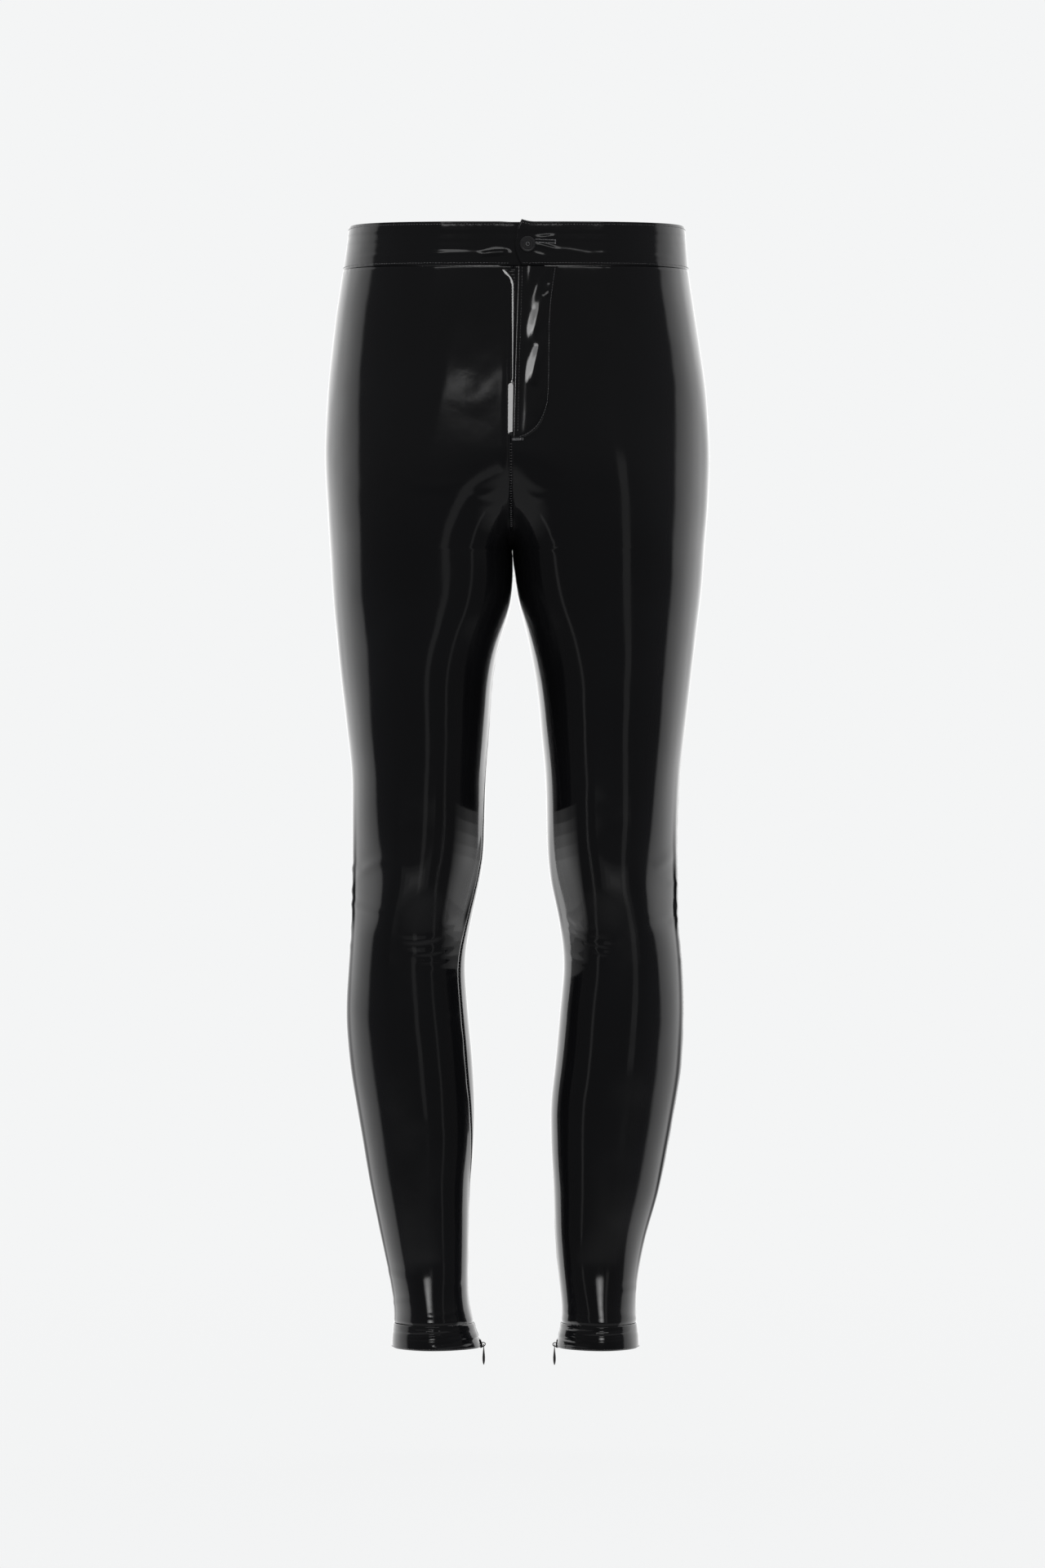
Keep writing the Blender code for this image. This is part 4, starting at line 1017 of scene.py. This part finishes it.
def make_roll():
    z = np.linspace(ROLL_TOP, ROLL_LOW, 210)[:, None]
    low_down = smooth_step((ROLL_TURN - z) / 8.0)
    near_top = smooth_step((z + 42.0) / 20.0)
    right = np.minimum(smooth_value(z, FLY[:, 0], FLY[:, 1]) + 0.2, 0.9 - 1.6 * low_down)
    left = -4.2 - 4.0 * low_down - 9.0 * near_top**2
    across = np.linspace(0.0, 1.0, 15)[None, :]
    x = left + (right - left) * across
    uneven = 0.75 + 0.25 * soft_noise(np.stack([z, 0 * z, 0 * z], 2) + 11.0, 9.0)
    pucker = 0.13 * np.sin(z * 2 * math.pi / 2.7) * uneven * (1.0 - 0.8 * low_down)
    ridge = (0.78 + pucker) * np.sin(math.pi * across)
    facet = 1.7 * np.minimum(across / 0.85, (1.0 - across) / 0.15)
    height = ridge + (facet - ridge) * low_down
    ends = smooth_step((ROLL_TOP - z) / 1.5) * smooth_step((z - ROLL_LOW) / 4.0)
    y = np.broadcast_to(column(z, "front"), x.shape)
    level = np.broadcast_to(z, x.shape)
    lift = waist_lift(y, level, column(level, "front"), column(level, "back"))
    outside = np.stack([x, y + 0.25 - height * ends, level + lift], axis=2)
    inside = np.stack([x, y + 0.75, level + lift], axis=2)
    clear = np.full(x.shape, 9.0)
    return shell("fly_edge_right", outside, inside, TRIM_VINYL, False, clear), outside


ROLL, roll_grid = make_roll()

# %% [markdown]
# ## Hem bands
# A hem band is a short folded strip, thicker than the leg, open at the ankle zip. The seam above
# it gathers the cloth a little, which shows as two or three wrinkles round its top edge.

# %% Hem bands
ZIP_SLOT, HEM_PROUD, HEM_WALL = 3.4, 0.5, 1.8
HEM_LEVELS = np.concatenate([
    PANEL_BOTTOM - SEAM_GAP - np.array([0.0, 0.3, 0.7, 1.2, 1.8, 2.5]),
    np.linspace(PANEL_BOTTOM - 3.5, HEM_Z + 2.5, 22)[:-1],
    HEM_Z + np.array([2.5, 1.8, 1.2, 0.7, 0.3, 0.0]),
])
HEM_CREASES = {
    "right": np.array([
        (-110.0, -985.4, -62.0, -984.8, 0.4, 1.0, 0.40),
        (-104.0, -988.4, -46.0, -986.6, 0.5, 1.1, 0.45),
        (-86.0, -991.6, -40.0, -989.6, 0.6, 1.1, 0.40),
        (-58.0, -999.0, -36.0, -993.5, -1.0, 1.3, 0.55),
        (-76.0, -1001.0, -38.0, -998.0, -0.8, 1.2, 0.45),
    ]),
    "left": np.array([
        (40.0, -986.2, 72.0, -985.0, 0.4, 1.0, 0.50), (52.0, -989.2, 104.0, -987.4, -0.5, 1.1, 0.40),
        (42.0, -995.0, 62.0, -998.0, 0.8, 1.3, 0.60), (44.0, -1000.2, 70.0, -1001.0, 0.6, 1.2, 0.45),
    ]),
}
BACK_HEM_CREASES = np.array([
    (-104.0, -985.6, -52.0, -987.2, 0.5, 1.1, 0.45),
    (-92.0, -989.6, -44.0, -990.8, -0.6, 1.2, 0.40),
    (48.0, -986.4, 100.0, -985.4, -0.5, 1.1, 0.45),
    (56.0, -990.4, 108.0, -988.6, 0.6, 1.2, 0.40),
])
FRONT_PULL, BACK_PULL = 1.6, 1.4  # how much the seam strengthens a band's creases


def make_hem(side):
    leg = LEGS[side]

    def bounds(_outseam, whole, _turn):
        return ZIP_SLOT, whole - ZIP_SLOT

    points, normal, where = patch(HEM_LEVELS, side, bounds, crowded(HEM_COLUMNS))
    normal[:, :, 2] = 0.0
    normal = unit(normal)
    x, y, z = np.moveaxis(points, 2, 0)
    down = np.broadcast_to((HEM_LEVELS[0] - HEM_LEVELS)[:, None], x.shape)
    tall = HEM_LEVELS[0] - HEM_LEVELS[-1]
    ends = np.minimum(where, where[:, -1:] - where)
    edge = np.minimum(np.minimum(down, tall - down), ends)
    height = HEM_PROUD + 0.8 * smooth_step(down / 18.0) - 0.8 * bell(edge, 0.0, 0.7)
    height = height - 0.35 * bell(down, 8.5, 1.4) * (0.5 + 0.5 * soft_noise(points, 30.0))
    facing, behind = [smooth_step(normal[:, :, 1] * way) for way in (-TURNED, TURNED)]
    creases = FRONT_PULL * crease_height(x, z, HEM_CREASES[leg]) * facing
    creases = creases + BACK_PULL * crease_height(x, z, BACK_HEM_CREASES) * behind
    waves = 0.12 * soft_noise(points, 18.0)
    waves = waves + 0.08 * soft_noise(points + 70.0, 6.0) * bell(down, 2.5, 3.0)
    flare = leg_shape(x, z, side) * facing
    height = height + (creases + waves) * smooth_step(edge / 2.5) + flare
    outside = points + normal * height[:, :, None]
    inner = flare - (HEM_WALL - HEM_PROUD) + 0.5 * bell(edge, 0.0, 0.7)
    inside = points + normal * inner[:, :, None]
    obj = shell(f"hem_band_{leg}_cloth", outside, inside, TRIM_VINYL, side < 0, edge + 3.0)
    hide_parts(f"hem_band_{leg}")
    return obj, outside, normal


HEMS, HEM_GRIDS = {}, {}
for side, leg in LEGS.items():
    HEMS[leg], *HEM_GRIDS[leg] = make_hem(side)

# %% [markdown]
# ## Sewing
# Every stitch is a short rounded grain of thread, bowed up in the middle. A
# row of them is one mesh: the same grain is copied to each place by array arithmetic. Rows of
# topstitching follow the waistband, the fly's J and the hems; short ladder stitches lie across
# the long seams.

# %% Stitch tools
GRAIN_T = np.array([-0.30, 0.0, 0.30])
GRAIN_R = np.array([0.86, 1.0, 0.86])
SIDES = 6
PEEK = 0.4  # mm ahead and behind, which give a line's direction
SEWN = []


def grain_faces():
    """Faces of one grain: a tip, three rings of SIDES points and another tip."""
    faces, tip = [], len(GRAIN_T) * SIDES
    for k in range(SIDES):
        after = (k + 1) % SIDES
        faces.append((tip, after, k, k))
        for ring in range(len(GRAIN_T) - 1):
            low, high = ring * SIDES, (ring + 1) * SIDES
            faces.append((low + k, low + after, high + after, high + k))
        faces.append((tip + 1, tip - SIDES + k, tip - SIDES + after, tip - SIDES + after))
    return np.array(faces)


def grains(name, centres, along, up, length, radius, rise=0.12, finish=THREAD):
    """One mesh of thread grains. Each is a ring profile swept along its own direction:
    centre + along (t length) + up (rise (1 - 4 t^2)) + radius (across cos + up sin)."""
    along = unit(along)
    up = unit(up - along * (up * along).sum(axis=1, keepdims=True))
    across = np.cross(up, along)
    turn = np.arange(SIDES) * 2 * math.pi / SIDES
    t = np.concatenate([np.repeat(GRAIN_T, SIDES), [-0.5, 0.5]])
    size = np.concatenate([np.repeat(GRAIN_R, SIDES), [0.0, 0.0]]) * radius
    sideways = size * np.concatenate([np.tile(np.cos(turn), len(GRAIN_T)), [0.0, 0.0]])
    lifted = size * np.concatenate([np.tile(np.sin(turn), len(GRAIN_T)), [0.0, 0.0]])
    lifted = lifted + rise * (1.0 - 4.0 * t * t)
    points = (
        centres[:, None] + along[:, None] * (t * length)[None, :, None]
        + across[:, None] * sideways[None, :, None] + up[:, None] * lifted[None, :, None]
    )
    faces = grain_faces()[None] + (np.arange(len(centres)) * len(t))[:, None, None]
    faces = [tuple(dict.fromkeys(face)) for face in faces.reshape(-1, 4).tolist()]
    obj = new_piece(name, points.reshape(-1, 3), faces, finish, smooth_angle=80)
    SEWN.append(obj)


def spaced(line, pitch, *others):
    """Points every pitch mm along a line of points, the direction there, and other arrays read at
    the same places."""
    distance = length_along(line[None])[0]
    wanted = np.arange(pitch / 2, distance[-1], pitch)
    ahead, behind = [read_at(wanted + way, distance, line) for way in (PEEK, -PEEK)]
    return (
        read_at(wanted, distance, line), unit(ahead - behind),
        *[read_at(wanted, distance, values) for values in others],
    )


def lay_on(grid, x, z):
    """Points on the front of a grid of points at each (x, z), and the normals there, from the
    nearest grid point and its tangent plane."""
    normal = unit(np.cross(np.gradient(grid, axis=0), np.gradient(grid, axis=1))).reshape(-1, 3)
    flat = grid.reshape(-1, 3)
    normal = normal * np.where(normal[:, 1:2] > 0, -1.0, 1.0)
    front = flat[:, 1] < 0
    flat, normal = flat[front], normal[front]
    away = (flat[None, :, 0] - x[:, None]) ** 2 + (flat[None, :, 2] - z[:, None]) ** 2
    near = np.argmin(away, axis=1)
    found, n = flat[near], normal[near]
    slope = (n[:, 0] * (x - found[:, 0]) + n[:, 2] * (z - found[:, 2])) / n[:, 1]
    return np.stack([x, found[:, 1] - slope, z], axis=1), n


print("triangles in a grain of thread:", 2 * SIDES * len(GRAIN_T))

# %% Topstitching on the waistband and the hems
STITCH_PITCH, STITCH_LONG, STITCH_THICK = 2.7, 2.15, 0.21
BAND_ROW = 5  # the grid row 2.5 mm from each long edge


def row_of_stitches(name, grid, normal, row, stop=-2):
    here, along, up = spaced(grid[row, 2:stop], STITCH_PITCH, normal[row, 2:stop])
    grains(name, here, along, up, STITCH_LONG, STITCH_THICK)


for leg in LEGS.values():
    grid, normal = BAND_GRIDS[leg]
    lapped = np.nonzero((grid[0, :, 1] < 0) & (grid[0, :, 0] > -3.0))[0]
    stop = -2 if leg == "left" else int(lapped[0])
    for row, edge_name in ((BAND_ROW, "top"), (len(grid) - 1 - BAND_ROW, "bottom")):
        row_of_stitches(f"waistband_{edge_name}_stitches_{leg}", grid, normal, row, stop)
    grid, normal = HEM_GRIDS[leg]
    row_of_stitches(f"hem_stitches_{leg}", grid, normal, len(grid) - 4)
print("rows of topstitching:", len(SEWN))

# %% Sewing of the fly
J_INSET, J_PITCH = 1.9, 2.4
BAR_FROM, BAR_TO, BAR_Z = -2.6, 6.2, -179.0294


def j_line():
    """The J-shaped stitching line, J_INSET inside the placket's sewn edge."""
    z = np.concatenate([np.linspace(-23.0, -160.0, 120), np.linspace(-160.0, -178.4, 60)[1:]])
    edge = np.stack([smooth_value(z, FLY[:, 0], FLY[:, 2]), 0.0 * z, z], axis=1)
    way = unit(np.gradient(edge, axis=0))
    inner = edge + np.stack([way[:, 2], 0.0 * z, -way[:, 0]], axis=1) * J_INSET
    inner[:, 0] = np.maximum(inner[:, 0], 3.0)
    return inner


def sew_on(name, line, pitch, length, radius):
    """A row of grains on the placket along a line of (x, z) points."""
    here, way = spaced(line, pitch)
    points, up = lay_on(PLACKET_GRID, here[:, 0], here[:, 2])
    grains(name, points + up * 0.05, way, up, length, radius)


sew_on("fly_topstitch", j_line(), J_PITCH, 1.95, 0.23)
for offset, label in ((1.0, "outer"), (FLY_STRIP + 0.3, "inner")):
    z = np.linspace(-24.0, -172.0, 120)
    line = np.stack([smooth_value(z, FLY[:, 0], FLY[:, 1]) + offset, 0.0 * z, z], axis=1)
    sew_on(f"fly_edge_stitches_{label}", line, 2.6, 1.7, 0.17)
bar_x = np.linspace(BAR_FROM, BAR_TO, 19)
points, up = lay_on(PLACKET_GRID, np.maximum(bar_x, -2.0), 0.0 * bar_x + BAR_Z)
points[:, 0] = bar_x
grains("bar_tack", points + up * 0.15, np.tile([0.12, 0.0, 1.0], (len(bar_x), 1)), up, 3.4, 0.27)

# %% Buttonhole and the button's thread
HOLE_X, HOLE_Z = (17.6, 35.0), (-1.9, 0.8)
SATIN_PITCH, SATIN_LONG = 0.62, 1.35
for row, level in enumerate(HOLE_Z):
    x = np.arange(HOLE_X[0], HOLE_X[1], SATIN_PITCH)
    z = level - 0.045 * (x - HOLE_X[0])
    points, up = lay_on(BAND_GRIDS["left"][0], x, z)
    way = np.tile([0.08, 0.0, 1.0], (len(x), 1))
    grains(f"buttonhole_satin_{row}", points + up * 0.08, way, up, SATIN_LONG, 0.30)
z = np.arange(-3.4, 0.9, SATIN_PITCH)
points, up = lay_on(BAND_GRIDS["left"][0], 0.0 * z + HOLE_X[1] + 0.6, z)
grains("buttonhole_bar", points + up * 0.08, np.tile([1.0, 0.0, 0.1], (len(z), 1)), up, 1.5, 0.30)
button_low, button_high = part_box("button")
button_x, button_z = [(button_low[k] + button_high[k]) / 2 / MM for k in (0, 2)]
thread_y = button_low[1] / MM + 0.75
THREAD_SPOTS = ((0.0, -1.35), (0.0, 1.35), (-1.35, 0.0), (1.35, 0.0))
thread_at = np.array([(button_x + dx, thread_y, button_z + dz) for dx, dz in THREAD_SPOTS])
thread_way = np.array([(1.0, 0.0, 0.0)] * 2 + [(0.0, 0.0, 1.0)] * 2)
facing_us = np.tile([0.0, -1.0, 0.0], (len(thread_at), 1))
grains("button_thread", thread_at, thread_way, facing_us, 3.7, 0.34, rise=0.3)
print("button at", round(button_x, 2), round(button_z, 2), "mm")

# %% Ladder stitches across the long seams, and the zip's teeth
LADDER_PITCH, LADDER_LONG, LADDER_THICK = 2.6, 2.3, 0.20
TOOTH_PITCH, TOOTH_LONG, TOOTH_THICK, TOOTH_SHIFT, TOOTH_SINK = 1.05, 2.1, 0.34, 0.75, 1.55


def seam_line(face, side, end, top, low):
    """Points and normals along a seam: end 0 is a panel's inner edge and -1 its other edge."""
    points, normal, _ = patch(
        PANEL_ROWS, side, panel_bounds(face, 0.0), lambda start, stop: np.array([start, stop])
    )
    use = (PANEL_ROWS <= top) & (PANEL_ROWS >= low)
    return points[use, end], normal[use, end]


def ladder(name, line, normal, tilt, sink):
    here, along, up = spaced(line, LADDER_PITCH, normal)
    across = np.cross(along, up)
    lean = math.sin(math.radians(tilt)) * np.where(np.arange(len(here)) % 2 == 0, 1.0, -1.0)
    way = across + along * lean[:, None]
    grains(name, here - up * sink, way, up, LADDER_LONG, LADDER_THICK, rise=0.05)


for side, leg in LEGS.items():
    line, normal = seam_line("front", side, -1, -22.0, PANEL_BOTTOM + 2)
    ladder(f"outseam_stitches_{leg}", line, normal, 0.0, 0.30)
    line, normal = seam_line("front", side, 0, FORK_Z - 3.0, -864.0)
    ladder(f"inseam_stitches_{leg}", line, normal, 34.0, 0.30)
for name, face, end, top in (("seat", "back", -1, -22.0), ("centre", "front", 0, -181.0)):
    line, normal = seam_line(face, 1, end, top, FORK_Z + 20.0)
    normal[:, 0] = 0.0
    ladder(f"{name}_seam_stitches", line, unit(normal), 0.0, 0.40)

for side, leg in LEGS.items():
    levels = np.linspace(PANEL_BOTTOM - 0.5, HEM_Z + 9.0, 12)
    points, normal, _ = patch(
        levels, side, lambda *_: (0.0, 1.0), lambda start, end: np.array([start])
    )
    here, along, up = spaced(points[:, 0], TOOTH_PITCH / 2, normal[:, 0])
    across = np.cross(along, up)
    shift = TOOTH_SHIFT * np.where(np.arange(len(here)) % 2 == 0, 1.0, -1.0)
    centres = here - up * TOOTH_SINK + across * shift[:, None]
    grains(
        f"zip_teeth_{leg}", centres, across, up, TOOTH_LONG, TOOTH_THICK, 0.15, METAL
    )

# %% Finishes of the CAD pieces that stay
KEPT = {"button": BUTTON}
for leg in ("left", "right"):
    KEPT[f"ankle_zip_{leg}"] = TAPE
    KEPT[f"zip_slider_{leg}"] = METAL
    KEPT[f"pull_tab_{leg}"] = METAL
for name, finish in KEPT.items():
    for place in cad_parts[name].material_slots:
        place.link = "OBJECT"
        place.material = finish
print("kept pieces:", ", ".join(KEPT))

# %% [markdown]
# ## Camera, floor and light
# The photograph is a straight front view from a distance, so the camera looks along +Y with a
# long lens at the garment's mid height. Black gloss shows its surroundings, and the room is bright
# only behind the garment, so its turning sides mirror pale bands and its front stays black. Lamps
# in front draw the other highlights. All but the key are linked to the pieces that show them,
# because a photographer shades one piece from another's light with cards, and a render does so by
# name.

# %% Camera
CAMERA_AT, LENS, SENSOR = (0.00597, -5.5, -0.48806), 138.19, 36.0  # m, mm, mm
camera_data = bpy.data.cameras.new("camera")
camera_data.sensor_fit = "VERTICAL"
camera_data.sensor_height = SENSOR
camera_data.lens = LENS
camera = bpy.data.objects.new("camera", camera_data)
camera.location = CAMERA_AT
camera.rotation_euler = (math.radians(90), 0.0, 0.0)
bpy.context.scene.collection.objects.link(camera)
bpy.context.scene.camera = camera
bpy.context.scene.view_settings.view_transform = "Standard"
print("lens", LENS, "mm")

# %% Surroundings
PALE = (0.905, 0.912, 0.915, 1.0)
world = bpy.data.worlds.new("studio")
bpy.context.scene.world = world
world.use_nodes = True
tree = world.node_tree
tree.nodes.clear()
direction = new_node(tree, "TexCoord").outputs["Generated"]
parts = new_node(tree, "SeparateXYZ", {0: direction}).outputs
walls = ramp(tree, parts["Y"], -0.05, 0.03, 0.0, 1.0)
windows = ramp(tree, parts["Y"], 0.03, 0.50, 0.0, 0.9)
ground = ramp(tree, parts["Z"], -0.50, -0.34, 0.34, 0.08)
ceiling = ramp(tree, parts["Z"], -0.12, 0.08, 0.0, 0.05)
room = maths(tree, "ADD", ground, ceiling)
screens = maths(tree, "ADD", maths(tree, "ADD", walls, windows), room)
around = new_node(tree, "Background", {"Strength": screens})
seen = new_node(tree, "Background", {"Color": PALE})
choose = new_node(tree, "MixShader", {
    0: new_node(tree, "LightPath").outputs["Is Camera Ray"], 1: around.outputs[0],
    2: seen.outputs[0],
})
new_node(tree, "OutputWorld", {0: choose.outputs[0]})
print("world nodes:", len(tree.nodes))


# %% Lights
AIM_Z = -0.45  # m, the height at which a softbox aims


def softbox(name, azimuth, elevation, distance, width, height, radiance, place=None):
    """An area light at an angle to the camera's axis (azimuth to the picture's right), aimed at
    the garment. place moves it without turning it. Power = radiance times pi times area."""
    az, el = math.radians(azimuth), math.radians(elevation)
    data = bpy.data.lights.new(name, "AREA")
    data.shape, data.size, data.size_y = "RECTANGLE", width, height
    data.energy = radiance * math.pi * width * height
    light = bpy.data.objects.new(name, data)
    light.location = place or (
        distance * math.sin(az) * math.cos(el), -distance * math.cos(az) * math.cos(el),
        AIM_Z + distance * math.sin(el),
    )
    light.rotation_euler = (math.radians(90) - el, 0.0, az)
    light.visible_camera = False
    bpy.context.scene.collection.objects.link(light)
    return light


def light_only(light, pieces, diffuse=False):
    """Limits a light to some pieces, which alone shade it, and there to the gloss of the film."""
    light.visible_diffuse = diffuse
    lit = bpy.data.collections.new(light.name + "_pieces")
    for obj in pieces:
        lit.objects.link(obj)
    light.light_linking.receiver_collection = lit
    light.light_linking.blocker_collection = lit


def narrow(light, degrees):
    """Fades a light with the angle from its axis, so that its edges are soft in a reflection. The
    power stays in the beam, so it is divided by tan(h) / (tan(h) - h) for the half angle h."""
    half = math.radians(degrees) / 2
    light.data.spread = 2 * half
    light.data.energy *= (math.tan(half) - half) / math.tan(half)


FRONT = {leg: [PANELS["front", leg]] for leg in LEGS.values()}
softbox("key", 4.0, 31.0, 9.0, 8.0, 1.7, 1.7)
for name, leg, azimuth, elevation, wide, radiance in (
    ("strip_left", "left", 22.0, -8.0, 0.9, 0.22),
    ("strip_right", "right", 10.0, -8.0, 0.7, 0.22),
    ("line_left", "left", -46.0, -10.0, 0.45, 0.30),
    ("line_right", "right", 47.0, -10.0, 0.45, 0.20),
):
    light_only(softbox(name, azimuth, elevation, 6.0, wide, 3.1, radiance), FRONT[leg])
light_only(softbox("roll_lamp", -30.0, 6.0, 3.0, 1.5, 2.2, 9.5), [ROLL])
light_only(softbox("thread_lamp", -25.0, 22.0, 3.0, 1.6, 1.6, 22.0), SEWN, diffuse=True)
print("lamps so far:", len(bpy.data.lights))

# %% Nested lamps: smaller ones inside larger ones add up to a highlight with a soft border
KNEE_CARD_AT, BELLY_LIFT = (0.003, -0.020, -0.590), 0.61
for share in (1.0, 0.8, 0.6, 0.4, 0.2):
    for side, leg in LEGS.items():
        tall = 0.03 + 0.12 * share
        card = softbox(
            f"knee_card_{leg}", -104.0 * side, 0.0, 0.01, 0.50, tall, 0.36, KNEE_CARD_AT
        )
        narrow(card, 70.0)
        light_only(card, FRONT[leg])
for share in (1.0, 0.66, 0.33):
    light_only(softbox("fly_lamp", -30.0, 6.0, 3.0, 0.85 * share, 2.4 * share, 3.6), [PLACKET])
    lamp = softbox("belly_lamp", -0.5, 1.5, 8.0, 0.36 * share, 0.26 * share, 0.80)
    lamp.location[2] = BELLY_LIFT
    light_only(lamp, FRONT["right"])
    for side, leg in LEGS.items():
        place = (0.10 * side, -0.57, -0.70)
        lamp = softbox(
            f"knee_lamp_{leg}", 0.0, -12.0, 0.5, 0.63 * share, 0.18 * share, 0.12, place
        )
        light_only(lamp, FRONT[leg])
for side, leg in LEGS.items():
    place = (0.08 * side, -0.60, -1.035)
    lamp = softbox(f"ankle_lamp_{leg}", 0.0, -6.0, 0.6, 0.36, 0.07, 6.5, place)
    narrow(lamp, 24.0)
    light_only(lamp, [*FRONT[leg], HEMS[leg]])
print("softboxes:", len(bpy.data.lights))

# %% Floor
FLOOR_Z, FLOOR_RADIUS, FLOOR_POINTS, FLOOR_GLOW = -1.10, 4.0, 96, 0.94
floor_mesh = bpy.data.meshes.new("floor")
turns = np.linspace(0, 2 * math.pi, FLOOR_POINTS + 1)[:-1]
rim = [FLOOR_RADIUS * np.cos(turns), FLOOR_RADIUS * np.sin(turns), 0.0 * turns + FLOOR_Z]
floor_mesh.from_pydata(np.stack(rim, axis=1), [], [list(range(FLOOR_POINTS))])
floor = bpy.data.objects.new("floor", floor_mesh)
bpy.context.scene.collection.objects.link(floor)
floor_finish = bpy.data.materials.new("pale_floor")
floor_finish.use_nodes = True
tree = floor_finish.node_tree
tree.nodes.clear()
place = new_node(tree, "TexCoord").outputs["Object"]
far = tree.nodes.new("ShaderNodeVectorMath")
far.operation = "LENGTH"
feed(tree, far, {0: place})
matt = new_node(tree, "BsdfDiffuse", {"Color": PALE})
glow = new_node(tree, "Emission", {"Color": PALE, "Strength": 1.0})
blend = new_node(tree, "MixShader", {0: FLOOR_GLOW, 1: matt.outputs[0], 2: glow.outputs[0]})
reach = ramp(tree, far.outputs["Value"], 0.6, 2.4, 0.0, 1.0)
unseen = maths(tree, "SUBTRACT", 1.0, new_node(tree, "LightPath").outputs["Is Camera Ray"])
fade = new_node(tree, "MixShader", {
    0: maths(tree, "MAXIMUM", reach, unseen), 1: blend.outputs[0],
    2: new_node(tree, "BsdfTransparent").outputs[0],
})
new_node(tree, "OutputMaterial", {0: fade.outputs[0]})
floor_mesh.materials.append(floor_finish)
print("floor at z", FLOOR_Z)

# %% Finish
bpy.context.view_layer.update()
